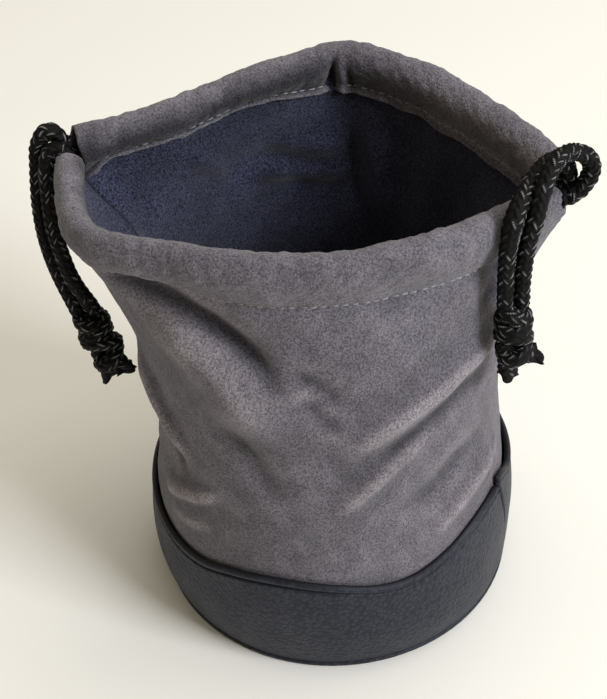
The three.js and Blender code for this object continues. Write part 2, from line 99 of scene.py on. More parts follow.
# The folded hem in section: out of the hem, and down from its crest
HEM_PROFILE = [
    (0.0, 0.017), (0.0017, 0.0125), (0.0033, 0.008), (0.0035, 0.004), (0.0021, 0.0009), (0.0, 0.0),
    (-0.0024, 0.0008), (-0.0044, 0.0034), (-0.0047, 0.0068), (-0.0033, 0.011), (-0.0019, 0.0146),
    (-0.0024, 0.0168), (-0.0027, 0.0186),
]
HEM_DEPTH = 0.017  # of that section
CORD_DEPTH = 0.0065  # down to here the section keeps its height, for the cord
SLIM_END = 0.25  # share by which the inner face of the front hem is slimmer at the left end
SLIM_REACH = 0.28  # share of the half girth over which it is
FLAP_FROM = 0.8  # share of the section where the uneven edge of the flap begins
FLAP_UNEVEN = 0.0009
FLAP_WAVE = 0.012  # length of that unevenness
FLAP_CORNER = 0.032  # share of the half girth over which the flap's corner tapers off
CORNER_DROP = 0.0040  # of the rear flap's corner

# Depth of the stitched hem by place: shares of the half girth, depth
FRONT_DEPTH = [
    (0.0, 0.0115), (0.12, 0.012), (0.25, 0.014), (0.42, 0.016), (0.7, 0.017), (1.0, 0.0165),
]
REAR_DEPTH = [
    (0.0, 0.011), (0.06, 0.0095), (0.17, 0.011), (0.33, 0.0105), (0.46, 0.0135), (0.62, 0.015),
    (1.0, 0.0175),
]

# Folds of the cloth: points as shares of the half girth and heights, width, height, roundness
FRONT_FOLDS = [
    ([(0.2, 0.14), (0.3, 0.1378), (0.345, 0.1355), (0.405, 0.13), (0.445, 0.124), (0.477, 0.1175),
      (0.51, 0.11)],
     0.0046, -0.0054, 1.5),
    ([(0.26, 0.133), (0.33, 0.125), (0.387, 0.115), (0.44, 0.103), (0.48, 0.092)], 0.009, 0.0044, 1.8),
    ([(0.12, 0.108), (0.165, 0.095), (0.233, 0.0814), (0.3, 0.0715)], 0.0034, 0.004, 1.3),
    ([(0.11, 0.09), (0.16, 0.08), (0.215, 0.0705), (0.28, 0.065)], 0.0036, -0.0034, 1.5),
    ([(0.158, 0.0476), (0.243, 0.0565), (0.305, 0.062), (0.37, 0.07)], 0.0023, 0.0026, 1.2),
    ([(0.182, 0.0425), (0.26, 0.0456), (0.328, 0.0514)], 0.0022, 0.0014, 1.3),
    ([(0.95, 0.115), (0.877, 0.11), (0.792, 0.1085), (0.703, 0.1036), (0.64, 0.0981), (0.545, 0.087)],
     0.0048, 0.0036, 1.2),
    ([(0.88, 0.1), (0.803, 0.0992), (0.745, 0.0965), (0.683, 0.0925), (0.62, 0.086)],
     0.004, -0.0022, 1.5),
    ([(0.755, 0.0945), (0.7, 0.0895), (0.642, 0.083), (0.592, 0.075), (0.547, 0.065)],
     0.0036, 0.0026, 1.2),
    ([(0.9, 0.074), (0.787, 0.0729), (0.728, 0.0681), (0.65, 0.062)], 0.005, -0.0018, 1.6),
    ([(0.985, 0.058), (0.92, 0.0595), (0.843, 0.0599), (0.782, 0.0558), (0.71, 0.045)],
     0.004, 0.002, 1.3),
    ([(0.94, 0.066), (0.9, 0.059), (0.875, 0.05)], 0.002, -0.0009, 1.3),
    ([(0.884, 0.14), (0.882, 0.1295), (0.87, 0.119)], 0.0036, -0.0026, 1.5),
    ([(0.905, 0.137), (0.913, 0.126), (0.93, 0.113)], 0.003, 0.0012, 1.5),
    ([(0.5, 0.121), (0.532, 0.1182), (0.56, 0.1141), (0.59, 0.106)], 0.0028, -0.0014, 1.3),
    ([(0.515, 0.114), (0.548, 0.1046), (0.59, 0.099)], 0.0028, -0.0011, 1.3),
    ([(0.36, 0.098), (0.42, 0.086), (0.47, 0.07)], 0.005, -0.002, 1.6),
]
REAR_FOLDS = [
    ([(0.486, 0.196), (0.487, 0.18), (0.488, 0.169)], 0.0016, -0.0032, 1.5),
    ([(0.506, 0.196), (0.506, 0.18), (0.505, 0.169)], 0.0024, 0.0018, 1.5),
    ([(0.522, 0.196), (0.523, 0.18), (0.524, 0.17)], 0.0014, -0.0012, 1.5),
    ([(0.56, 0.148), (0.57, 0.125), (0.58, 0.09)], 0.0055, -0.0026, 1.6),
    ([(0.51, 0.14), (0.515, 0.12), (0.525, 0.095)], 0.004, 0.002, 1.6),
    ([(0.18, 0.133), (0.3, 0.125), (0.4, 0.128), (0.47, 0.133)], 0.0055, 0.0018, 1.9),
    ([(0.34, 0.12), (0.43, 0.112), (0.52, 0.109)], 0.005, 0.0016, 1.9),
    ([(0.7, 0.138), (0.68, 0.115), (0.62, 0.08)], 0.007, -0.0024, 1.8),
    ([(0.16, 0.08), (0.26, 0.07), (0.38, 0.06)], 0.006, 0.0016, 1.9),
]
# Slack of the rear lining alone
LINING_FOLDS = {
    "front": [],
    "rear": [
        ([(0.17, 0.1395), (0.21, 0.133), (0.245, 0.1272), (0.275, 0.1225)], 0.0026, -0.002, 1.5),
        ([(0.29, 0.124), (0.36, 0.1192), (0.412, 0.1162), (0.47, 0.1148), (0.54, 0.1165)],
         0.0024, -0.0026, 1.5),
        ([(0.33, 0.131), (0.39, 0.1284), (0.45, 0.1262), (0.53, 0.1252)], 0.0024, -0.0018, 1.5),
    ],
}
# Painted shade in the creases under that slack, darkest at one
LINING_CREASE_SHADE = {
    "front": [],
    "rear": [
        ([(0.18, 0.1362), (0.225, 0.129), (0.268, 0.1218)], 0.0018, 0.35, 1.6),
        ([(0.29, 0.1212), (0.36, 0.1166), (0.412, 0.1136), (0.47, 0.1122), (0.54, 0.1139)],
         0.002, 0.5, 1.5),
        ([(0.33, 0.1284), (0.39, 0.1258), (0.45, 0.1236), (0.53, 0.1226)], 0.002, 0.3, 1.5),
    ],
}
FOLD_ROUNDING = 0.0010
FOLD_TAPER = 0.35  # share of a fold's length over which it fades at each end

# Relief of the suede
RELIEF_RISE = 0.012  # folds and dents come in over this height above the band
DENTS = ((0.028, 3, 2.2), (0.011, 4, 1.0))  # size, seed and share of the ripple
HEM_GROOVE = 0.0006  # depth along the hem's stitches
HEM_GROOVE_WIDTH = 0.0014
HEM_RISE = 0.004  # past the stitches, where the hem's roughness is full
ROUGH_WALL = 0.00010
ROUGH_HEM = 0.00020  # what the hem adds
ROUGH_SIZES = ((0.0034, 5), (0.0050, 6))  # size and seed
FLAP_OFF = 0.012  # the flap begins to stand off this far above its raw edge
FLAP_OFF_FADE = 0.008

# Wear and painted light and shade of the suede: painted shade below the roll of the flap and in creases,
# painted light on the right of the flap, and pale ridges, partly wear and partly a painted highlight
# strength of the painted shade below the flap's roll
FLAP_PAINTED_SHADING = 1.75
RAW_EDGE = 0.0012
RAW_EDGE_WEAR = 0.4
FINE_WEAR_AND_SHADE = (3, 0.0004)  # points to each side, height of a ridge
WIDE_CREASE_SHADE = (9, 0.0018)
WIDE_CREASE_SHADE_SHARE = 0.4
DENT_WEAR_AND_SHADE = 0.6  # share of the dents that goes into the wear and the painted shade

# Lining
LINING_TOP = 0.003  # above the hem's stitches
LINING_INSIDE = 0.0018  # inside the middle of the suede
LINING_LOWER = 0.0016  # and so much more at the base
LINING_ALLOWANCE = 0.0008  # turned outwards at the side seams
CORNER_SLACK = 0.0045  # the lining cuts the corners at the side seams by this much
CORNER_FROM = 0.84  # share of the way to a side seam
CORNER_RISE = 0.09  # above the band, where the corner is cut in full
CORNER_BELOW = 0.007  # below the lining's top, where it ends
CORNER_FADE = 0.014
SIDE_SEAM_DARK = 0.6
SIDE_SEAM_WIDTH = 0.0006

# Top edge of the band: degrees round the base, height
BAND_EDGE = [
    (0, 0.041), (20, 0.0395), (60, 0.041), (100, 0.0385), (140, 0.04), (180, 0.0375), (211, 0.035),
    (232, 0.0355), (248, 0.04), (262, 0.042), (277, 0.041), (294, 0.038), (303, 0.038), (314, 0.041),
    (327, 0.045), (339, 0.0465), (349, 0.045), (360, 0.041),
]
DEGREES_PER_HEIGHT = 1000  # evens out both measures of that edge for a smooth line
BAND_RADIUS = 0.0600
BAND_SEAM_TURN = 0.29  # radians, at the top
BAND_SEAM_FOOT = 0.35  # share of that turn at the foot
BAND_STEP = 0.0035  # of the rear band above the front one at the right seam
BAND_STEP_REACH = 0.05  # share of the half girth
BAND_FOOT = 0.0017  # drawn in at the foot
BAND_GROOVE = 0.0013  # depth along the stitches
BAND_GROOVE_WIDTH = 0.00045
# width of the painted shade along the top edge
BAND_EDGE_SHADE_WIDTH = 0.0005
BAND_ROLL = 0.0010  # height over which the top edge is rounded
STRIP_SWELL = 0.0003  # of the turned strip above the stitches
STRIP_SMOOTH = 0.8
STRIP_BELOW = 0.0008  # the strip is smooth to this far below the stitches
STRIP_FADE = 0.0006
EDGE_ROWS_DEPTH = 0.006  # fine rows from the top edge down to here

# Thread
STITCH_SHARE = 0.75  # of a step that the thread lies on top
STITCH_SINK = 0.0004  # of its ends
STITCH_LIFT = 0.6  # of the thread's radius, at its middle
STITCH_BLUNT = 1.02  # above one, so that the ends aren't sharp
STITCH_START = 12  # columns of the suede left free at each side seam
HEM_STITCH = 0.0030  # step
HEM_THREAD = 0.00024  # radius
FLAP_STITCH = 0.0034
FLAP_STITCH_RISE = 0.0034  # above the raw edge, on the inner face
BAND_STITCH = 0.0032
BAND_THREAD = 0.00026
BAND_STITCH_INSET = 0.0008
BAND_STITCH_ENDS = 0.01  # share of the half girth left free at each end
STITCH_DEPTH = 0.0027  # below the band's top edge

# Drawcords, from inside the hem's mouth to just above the knot
CORD_ROUTES = {
    "left_front": [
        (-0.0712, -0.0125, 0.149), (-0.0728, -0.0065, 0.1494), (-0.0737, -0.0018, 0.1505),
        (-0.0742, -0.0003, 0.1522), (-0.0756, 0.0009, 0.1531), (-0.0776, 0.0011, 0.1537),
        (-0.0794, 0.0004, 0.1528), (-0.0803, -0.0016, 0.1496), (-0.0799, -0.0046, 0.1436),
        (-0.079, -0.0084, 0.1332), (-0.0771, -0.0106, 0.1252), (-0.0746, -0.0122, 0.1164),
    ],
    "left_rear": [
        (-0.06, 0.0165, 0.1522), (-0.068, 0.0112, 0.1523), (-0.0738, 0.0068, 0.1522),
        (-0.0763, 0.0056, 0.1526), (-0.0777, 0.0056, 0.1552), (-0.0795, 0.0056, 0.157),
        (-0.0815, 0.0054, 0.1569), (-0.0832, 0.0048, 0.155), (-0.0843, 0.0038, 0.1513),
        (-0.0846, 0.0012, 0.145), (-0.0843, -0.0028, 0.136), (-0.083, -0.0062, 0.1264),
        (-0.0803, -0.009, 0.117),
    ],
    "right_front": [
        (0.0565, -0.0125, 0.1478), (0.0622, -0.0058, 0.1465), (0.0662, -0.0012, 0.1464),
        (0.0688, -0.001, 0.1473), (0.0715, -0.0004, 0.1477), (0.0741, 0.0006, 0.1499),
        (0.0761, 0.0012, 0.1536), (0.0763, 0.001, 0.1577), (0.0737, -0.0004, 0.1616),
        (0.0699, -0.0036, 0.164), (0.0664, -0.0084, 0.1644), (0.0642, -0.0136, 0.162),
        (0.0629, -0.0177, 0.1583), (0.0617, -0.0207, 0.1529), (0.06, -0.0223, 0.1443),
    ],
    "right_rear": [
        (0.061, 0.0182, 0.1502), (0.0655, 0.0122, 0.1492), (0.0676, 0.0078, 0.148),
        (0.0677, 0.0044, 0.1474), (0.0694, 0.0038, 0.1492), (0.0703, 0.0036, 0.1528),
        (0.0686, 0.0024, 0.1568), (0.0653, -0.0014, 0.1597), (0.0622, -0.007, 0.16),
        (0.0596, -0.0134, 0.1591), (0.0575, -0.0194, 0.1574), (0.0559, -0.0234, 0.1537),
        (0.055, -0.025, 0.1454),
    ],
}
MOUTH_INDEX = 2  # the route's point in the hem's mouth
LEAD_INSIDE = 0.0020  # cord that stays with the hem, inside its mouth
LEAD_OUTSIDE = 0.004  # and past it
RUN_END = 0.022  # share of the half girth where the cord inside the hem begins
RUN_DEPTH = 0.0044  # of its middle below the crest
BRAID_FACING = {"left": (0.0, 1.0, 0.15), "right": (0.75, 0.62, -0.15)}  # where its rings begin
RUN_FACING = (0.0, 0.0, 1.0)
END_FACING = (0.3, 0.9, 0.2)
SCATTER = (12.9898, 78.233, 43758.5453, 7.13)  # spreads flecks over the yarns without order
FLECK_WIDTH = 0.065  # shares of a yarn's width and of its length on top
FLECK_LENGTH = 0.32
FLECK_FROM = 0.3  # first place of a fleck across its yarn
FLECK_SPREAD = 0.4  # and how far the places vary
FLECK_GAIN = 4  # how soon a fleck is at its palest
YARN_DIP = 0.3  # share of a yarn's height that is left where it goes under others
YARN_LEVEL = 0.75  # share of the relief inside the cord's radius
MOST_PRESSED = 0.34

# Top face, foot and direction from the rear strand to the front one
KNOTS = {
    "left": ((-0.0718, -0.0122, 0.1027), (-0.0679, -0.0138, 0.0928), (0.96, 0.0, 0.28)),
    "right": ((0.0574, -0.0248, 0.1262), (0.0579, -0.0252, 0.1156), (0.85, 0.52, 0.0)),
}
KNOT_APPROACH = 0.003
# Loops over the knot: share of its height, reach, slant, turn
KNOT_LOOPS = [
    (0.55, 0.0041, 0.002, 2.2), (0.08, 0.0044, -0.0022, 2.2), (-0.38, 0.0037, 0.002, 2.2),
]
LOOP_LAG = 1.3  # of the slant behind the turn
KNOT_SIZE = {"left": 0.90, "right": 0.80}  # share of the loops' reach
KNOT_SWELL = {"left": 0.0008, "right": 0.0000}  # of the two strands inside
KNOT_CORE = 1.3  # share of the cord's radius, fills the knot
CORD_ENDS = {
    "left_front": [(-0.0624, -0.0156, 0.086), (-0.0606, -0.016, 0.084)],
    "left_rear": [(-0.0679, -0.0136, 0.0836), (-0.0674, -0.0138, 0.0786)],
    "right_front": [(0.0616, -0.0242, 0.1094), (0.0654, -0.024, 0.109)],
    "right_rear": [(0.0564, -0.0264, 0.1074), (0.057, -0.0266, 0.1026)],
}
MELTED_FACE = (-0.15, 0.74, -0.65)  # the melted ends are pressed flat across this direction

STITCH_LAG = 0.0003  # a small offset, with opposite signs for the hem's and the flap's stitches

# Stage: size and place in metres, axes of the camera in the frame
FLOOR_SIZE = 3.0
FLOOR_HEIGHT = -0.0002
LIGHT_AIM = (0, 0, 0.08)
CAMERA_LENS = 88.2  # millimetres on a sensor of the next width
CAMERA_SENSOR = 36
CAMERA_NEAR = 0.01
CAMERA_AXES = ((0.9872, 0.1523, -0.0462), (-0.0652, 0.6517, 0.7557), (0.1452, -0.743, 0.6533))
CAMERA_PLACE = (0.0606, -0.3482, 0.38969)

FLECK_COLOUR = (0.33, 0.35, 0.37)
PALE_THREAD = (0.30, 0.29, 0.31)
DARK_THREAD = (0.010, 0.010, 0.013)
FOAM_COLOUR = (0.08, 0.08, 0.08)
BOARD_COLOUR = (0.25, 0.20, 0.13)
BAND_GLOSS = (0.82, 0.86, 1.0)
ROOM_LIGHT = (1.0, 0.89, 0.66)
WHITE = (1.0, 1.0, 1.0)


class PouchCloth(bpy.types.PropertyGroup):
    """Sizes and colours of the suede and the lining"""

    suede_thickness: FloatProperty(
        name="Suede thickness", description="Thickness of the outer cloth", default=0.0011, unit="LENGTH"
    )
    lining_thickness: FloatProperty(
        name="Lining thickness", description="Thickness of the inner cloth", default=0.0007, unit="LENGTH"
    )
    fold_strength: FloatProperty(
        name="Fold strength", description="Scales every modelled fold", default=1.0, subtype="FACTOR"
    )
    ripple: FloatProperty(
        name="Ripple", description="Height of the small dents all over the cloth",
        default=0.0004, unit="LENGTH"
    )
    suede_colour: FloatVectorProperty(
        name="Suede", description="Main colour of the suede", default=(0.154, 0.145, 0.175), subtype="COLOR"
    )
    lining_colour: FloatVectorProperty(
        name="Lining", description="Main colour of the lining", default=(0.037, 0.041, 0.077), subtype="COLOR"
    )


class PouchBand(bpy.types.PropertyGroup):
    """Sizes and colours of the lower band and the base"""

    thickness: FloatProperty(
        name="Thickness", description="Thickness of the band at its turned edge",
        default=0.0018, unit="LENGTH"
    )
    bulge: FloatProperty(
        name="Bulge", description="How far the band swells at mid height", default=0.0016, unit="LENGTH"
    )
    colour: FloatVectorProperty(
        name="Band", description="Colour of the pebbled band", default=(0.023, 0.0255, 0.038), subtype="COLOR"
    )


class PouchCord(bpy.types.PropertyGroup):
    """Sizes and colours of the braided cords"""

    radius: FloatProperty(name="Radius", description="Radius of the cord", default=0.00235, unit="LENGTH")
    carriers: IntProperty(name="Yarns", description="Yarns that wind each way round the braid", default=8)
    pitch: FloatProperty(
        name="Pitch", description="Length of one turn of a yarn round the cord", default=0.0190, unit="LENGTH"
    )
    relief: FloatProperty(
        name="Relief", description="How far the yarns stand out of the braid", default=0.0005, unit="LENGTH"
    )
    colour: FloatVectorProperty(
        name="Yarn", description="Colour of the dark yarns", default=(0.0028, 0.0028, 0.0032), subtype="COLOR"
    )


class PouchStage(bpy.types.PropertyGroup):
    """Floor, light and camera"""

    floor_colour: FloatVectorProperty(
        name="Floor", description="Colour of the pale floor", default=(0.92, 0.915, 0.90), subtype="COLOR"
    )
    key_power: FloatProperty(
        name="Key light", description="Power of the large light at the front right",
        default=38.0, unit="POWER"
    )
    top_power: FloatProperty(
        name="Top light", description="Power of the wide light overhead", default=7.5, unit="POWER"
    )
    fill: FloatProperty(
        name="Fill", description="Strength of the even light from all round", default=0.29, min=0.0
    )


def smooth_line(points, spans=SPANS):
    """Dense points on a smooth curve through the given ones.

    Each span is a cubic whose end slopes come from its neighbours, weighted by the root of the distances.
    """
    p = np.array(points, float)
    p = np.vstack([2 * p[0] - p[1], p, 2 * p[-1] - p[-2]])
    a, b, c, d = p[:-3], p[1:-2], p[2:-1], p[3:]
    steps = (b - a, c - b, d - c)
    before, here, after = (np.sqrt(np.linalg.norm(step, axis=1))[:, None] for step in steps)
    slope_in = ((b - a) / before - (c - a) / (before + here) + (c - b) / here) * here
    slope_out = ((c - b) / here - (d - b) / (here + after) + (d - c) / after) * here
    t = np.linspace(0, 1, spans, endpoint=False)[None, :, None]
    curve = (
        (2 * t**3 - 3 * t**2 + 1) * b[:, None]
        + (t**3 - 2 * t**2 + t) * slope_in[:, None]
        + (3 * t**2 - 2 * t**3) * c[:, None]
        + (t**3 - t**2) * slope_out[:, None]
    )
    return np.vstack([curve.reshape(-1, p.shape[1]), p[-2]])


def lengths_of(line):
    """Length along a line up to each of its points."""
    return np.concatenate([[0.0], np.cumsum(np.linalg.norm(np.diff(line, axis=0), axis=1))])


def along(line, distance):
    """Points at given distances along a line."""
    length = lengths_of(line)
    return np.stack([np.interp(distance, length, line[:, k]) for k in range(line.shape[1])], -1)


def unit(v):
    """Vectors scaled to length one."""
    return v / np.maximum(np.linalg.norm(v, axis=-1, keepdims=True), 1e-12)


def share_of(value, span):
    """A value as a share of a span, kept from 0 to 1."""
    return np.clip(value / span, 0, 1)


def bell(value, width, power=2):
    """A bell curve: one at nothing, fading over a width, flatter on top for a higher power."""
    return np.exp(-((value / width) ** power))


def sideways(u):
    """Level direction to the side seam that is nearer."""
    return np.stack([np.where(u < 0.5, -1.0, 1.0), 0 * u, 0 * u], -1)


def soft_noise(x, y, size, seed):
    """Smooth seeded dents: the mean of ten cosine waves of about one wavelength, in random directions."""
    rng = np.random.default_rng(seed)
    turn, phase = rng.uniform(0, 2 * np.pi, (2, 10))
    k = 2 * np.pi / (size * rng.uniform(0.6, 1.5, 10))
    return np.cos(x[..., None] * k * np.cos(turn) + y[..., None] * k * np.sin(turn) + phase).mean(-1)


def fold_heights(folds, x, y, girth):
    """Sum of the folds at points of the cloth: a bell curve across each fold's line, fading at its ends."""
    height = np.zeros_like(x)
    for points, width, depth, power in folds:
        line = smooth_line([((u - 0.5) * girth, z) for u, z in points], spans=6)
        total = lengths_of(line)
        nearest = np.full(x.shape, np.inf)
        where = np.zeros(x.shape)
        for a, b, start, end in zip(line, line[1:], total, total[1:]):
            span = b - a
            t = np.clip(((x - a[0]) * span[0] + (y - a[1]) * span[1]) / (span @ span), 0, 1)
            d = np.hypot(x - a[0] - t * span[0], y - a[1] - t * span[1])
            where = np.where(d < nearest, (start + t * (end - start)) / total[-1], where)
            nearest = np.minimum(nearest, d)
        fade = np.sin(np.pi * share_of(where, FOLD_TAPER) / 2) ** 2
        fade = fade * np.sin(np.pi * share_of(1 - where, FOLD_TAPER) / 2) ** 2
        across = np.hypot(nearest, FOLD_ROUNDING) - FOLD_ROUNDING
        height += depth * fade * bell(across, width, power)
    return height


class Half:
    """Front or rear half of the pouch. u runs from the left side seam to the right one."""

    def __init__(self, name, sign, crest, depths, folds, slim, corner):
        self.name = name
        self.sign = sign
        self.folds = folds
        self.slim = slim
        self.corner = corner
        self.depths = smooth_line(depths)
        self.crest = smooth_line(crest)
        self.length = lengths_of(self.crest)[-1]
        self.profile = smooth_line(HEM_PROFILE, spans=8)
        self.hem_length = lengths_of(self.profile)[-1]

    def angle(self, u):
        """Angle round the base, in radians."""
        return np.pi - self.sign * np.pi * u

    def near_seam(self, u):
        """One at a side seam, fading to nothing a little way off."""
        return np.abs(2 * u - 1) ** SEAM_POWER

    def depth(self, u):
        """Depth of the stitched hem."""
        return np.interp(u, self.depths[:, 0], self.depths[:, 1])

    def squeeze(self, u, z):
        """The right side stands in above the base: a bell curve round it that comes in with the height."""
        rise = share_of(z, SQUEEZE_RISE)
        return -SQUEEZE * bell(np.sin(self.angle(u) / 2), SQUEEZE_WIDTH) * rise * rise * (3 - 2 * rise)

    def crest_at(self, u):
        """Crest of the hem."""
        return along(self.crest, u * self.length)

    def hem_line(self, u):
        """The stitch line: the crest lowered by the hem's depth and drawn to the side seams at its ends."""
        p = self.crest_at(u)
        p[..., 2] -= self.depth(u)
        ends = self.crest[[0, -1]] - [[0, 0, self.depth(0.0)], [0, 0, self.depth(1.0)]]
        shift = np.where((u < 0.5)[..., None], LEFT_SEAM - ends[0], RIGHT_SEAM - ends[1])
        return p + self.near_seam(u)[..., None] * shift

    def outward(self, u, down):
        """Level direction out of the hem, turning to the pouch's side at the foot of a slit."""
        after, before = (self.crest_at(np.clip(u + step, 0, 1)) for step in (CREST_STEP, -CREST_STEP))
        across = after - before
        out = np.stack([-self.sign * across[..., 1], self.sign * across[..., 0], 0 * u], -1)
        share = (self.near_seam(u) * (down / self.depth(u)) ** 2)[..., None]
        return unit(unit(out) * (1 - share) + sideways(u) * share)

    def wall(self, u, z):
        """Middle of the suede wall.

        A circle behind the band is drawn to the stitch line by a power of the height's share,
        less a waist that is half a sine wave over the height and deeper at the sides.
        """
        top = self.hem_line(u)
        out = np.stack([np.cos(self.angle(u)), np.sin(self.angle(u))], -1)
        right = (1 + out[..., 0]) / 2
        share = share_of(z - BAND_TOP, top[..., 2] - BAND_TOP)
        flare = (share ** (FLARE + FLARE_RIGHT * right))[..., None]
        waist = (WAIST + (WAIST_SIDES - WAIST_RIGHT * right) * out[..., 0] ** 2) * np.sin(np.pi * share)
        radius = (WALL_RADIUS + self.squeeze(u, z))[..., None]
        plan = out * radius * (1 - flare) + top[..., :2] * flare - out * waist[..., None]
        return np.concatenate([plan, z[..., None]], -1)

    def hem(self, u, share):
        """The folded hem: its section carried along the crest, with the foot on the stitch line."""
        out, down = np.moveaxis(along(self.profile, share * self.hem_length), -1, 0)
        low = (self.depth(u) - CORD_DEPTH) / (HEM_DEPTH - CORD_DEPTH)
        down = np.where(down > CORD_DEPTH, CORD_DEPTH + (down - CORD_DEPTH) * low, down)
        out = np.where(out < 0, out * (1 - self.slim * np.clip(1 - u / SLIM_REACH, 0, 1)), out)
        down = down + self.flap_edge(u) * share_of(share - FLAP_FROM, 1 - FLAP_FROM) ** 2
        crest = self.crest_at(u)
        drop = (down / self.depth(u))[..., None]
        return crest + (self.hem_line(u) - crest) * drop + self.outward(u, down) * out[..., None]

    def flap_edge(self, u):
        """How much further the raw edge hangs: unevenly, with a corner near the left end of the rear one."""
        uneven = FLAP_UNEVEN * soft_noise(u * self.length, 0 * u, FLAP_WAVE, seed=11)
        return uneven + self.corner * np.clip(1 - u / FLAP_CORNER, 0, 1)


FRONT = Half("front", -1, FRONT_CREST, FRONT_DEPTH, FRONT_FOLDS, slim=SLIM_END, corner=0.0)
REAR = Half("rear", 1, REAR_CREST, REAR_DEPTH, REAR_FOLDS, slim=0.0, corner=CORNER_DROP)


def surface_normals(grid):
    """Normals of a grid of points, from its slopes along both parameters."""
    down, across = np.gradient(grid, axis=0), np.gradient(grid, axis=1)
    return unit(np.cross(across, down))


def out_of_cloth(half, u, grid):
    """Normals of a cloth grid, out of the pouch on the wall; both halves share them at the side seams."""
    normal = surface_normals(grid)
    if normal[0, grid.shape[1] // 2, 1] * half.sign < 0:
        normal = -normal
    share = (np.abs(2 * u - 1) ** SIDE_POWER)[..., None]
    side = sideways(u)
    face = np.where(np.sum(normal * side, -1, keepdims=True) < INNER_FACE, -1.0, 1.0)
    return unit(normal * (1 - share) + face * side * share)


def grid_faces(rows, columns, offset=0, wrap=False):
    """Quads between neighbouring points of a grid; wrap joins the last column to the first."""
    last = columns if wrap else columns - 1
    i, j = np.meshgrid(np.arange(rows - 1), np.arange(last), indexing="ij")
    k = (j + 1) % columns
    quads = np.stack([i * columns + j, i * columns + k, (i + 1) * columns + k, (i + 1) * columns + j], -1)
    return quads.reshape(-1, 4) + offset


def signed_volume(points, quads):
    """Volume inside quads, positive where they face out."""
    a, b, c, d = (points[quads[:, k]] for k in range(4))
    return (np.einsum("ij,ij->i", a, np.cross(b, c)) + np.einsum("ij,ij->i", a, np.cross(c, d))).sum()


def add_object(name, data):
    """A new object in the scene."""
    obj = bpy.data.objects.new(name, data)
    bpy.context.scene.collection.objects.link(obj)
    return obj


def add_piece(name, shape, material, slot, uv=None, **values):
    """A mesh object in the scene from arrays of points and quads, with a uv map and point values."""
    points, faces = shape
    mesh = bpy.data.meshes.new(name)
    if signed_volume(points, faces) < 0:
        faces = faces[:, ::-1]
    mesh.from_pydata(points.tolist(), [], faces.tolist())
    mesh.polygons.foreach_set("use_smooth", np.ones(len(mesh.polygons), bool))
    if uv is not None:
        corner = np.zeros(len(mesh.loops), np.int32)
        mesh.loops.foreach_get("vertex_index", corner)
        mesh.uv_layers.new(name="cloth").data.foreach_set("uv", uv[corner].astype(np.float32).ravel())
    for key, value in values.items():
        mesh.attributes.new(key, "FLOAT", "POINT").data.foreach_set("value", value.astype(np.float32).ravel())
    mesh.materials.append(material)
    mesh.update()
    obj = add_object(name, mesh)
    return obj


def closed_sheet(grid, thickness):
    """Points and quads of a sheet: a grid moved half a thickness to each side, joined round the edge."""
    rows, columns = grid.shape[:2]
    half = surface_normals(grid) * thickness / 2
    points = np.concatenate([(grid + half).reshape(-1, 3), (grid - half).reshape(-1, 3)])
    count = rows * columns
    front = grid_faces(rows, columns)
    edge = (
        np.arange(columns),
        np.arange(1, rows) * columns + columns - 1,
        (rows - 1) * columns + np.arange(columns - 2, -1, -1),
        np.arange(rows - 2, 0, -1) * columns,
    )
    edge = np.concatenate(edge)
    after = np.roll(edge, -1)
    rim = np.stack([after, edge, edge + count, after + count], -1)
    return points, np.concatenate([front, front[:, ::-1] + count, rim])


def tube(rings, ends=None):
    """Points and quads of a closed tube: rings joined along the tube, each end drawn to its middle point."""
    count, sides = rings.shape[:2]
    points = np.concatenate([rings.reshape(-1, 3), rings[[0, -1]].mean(1) if ends is None else ends])
    k = np.arange(0, sides, 2)
    ring = np.stack([k, k + 1, (k + 2) % sides], -1)
    middle = np.full((len(k), 1), count * sides)
    foot = np.hstack([middle, ring[:, ::-1]])
    head = np.hstack([middle + 1, ring + (count - 1) * sides])
    return points, np.concatenate([grid_faces(count, sides, wrap=True), foot, head])


def with_ends(values):
    """Values of a tube's points, with nothing at its two end points."""
    return np.concatenate([values.ravel(), [0, 0]])


# Materials


def shade(colour, factor):
    """A colour made darker or lighter."""
    return tuple(min(1.0, c * factor) for c in colour)


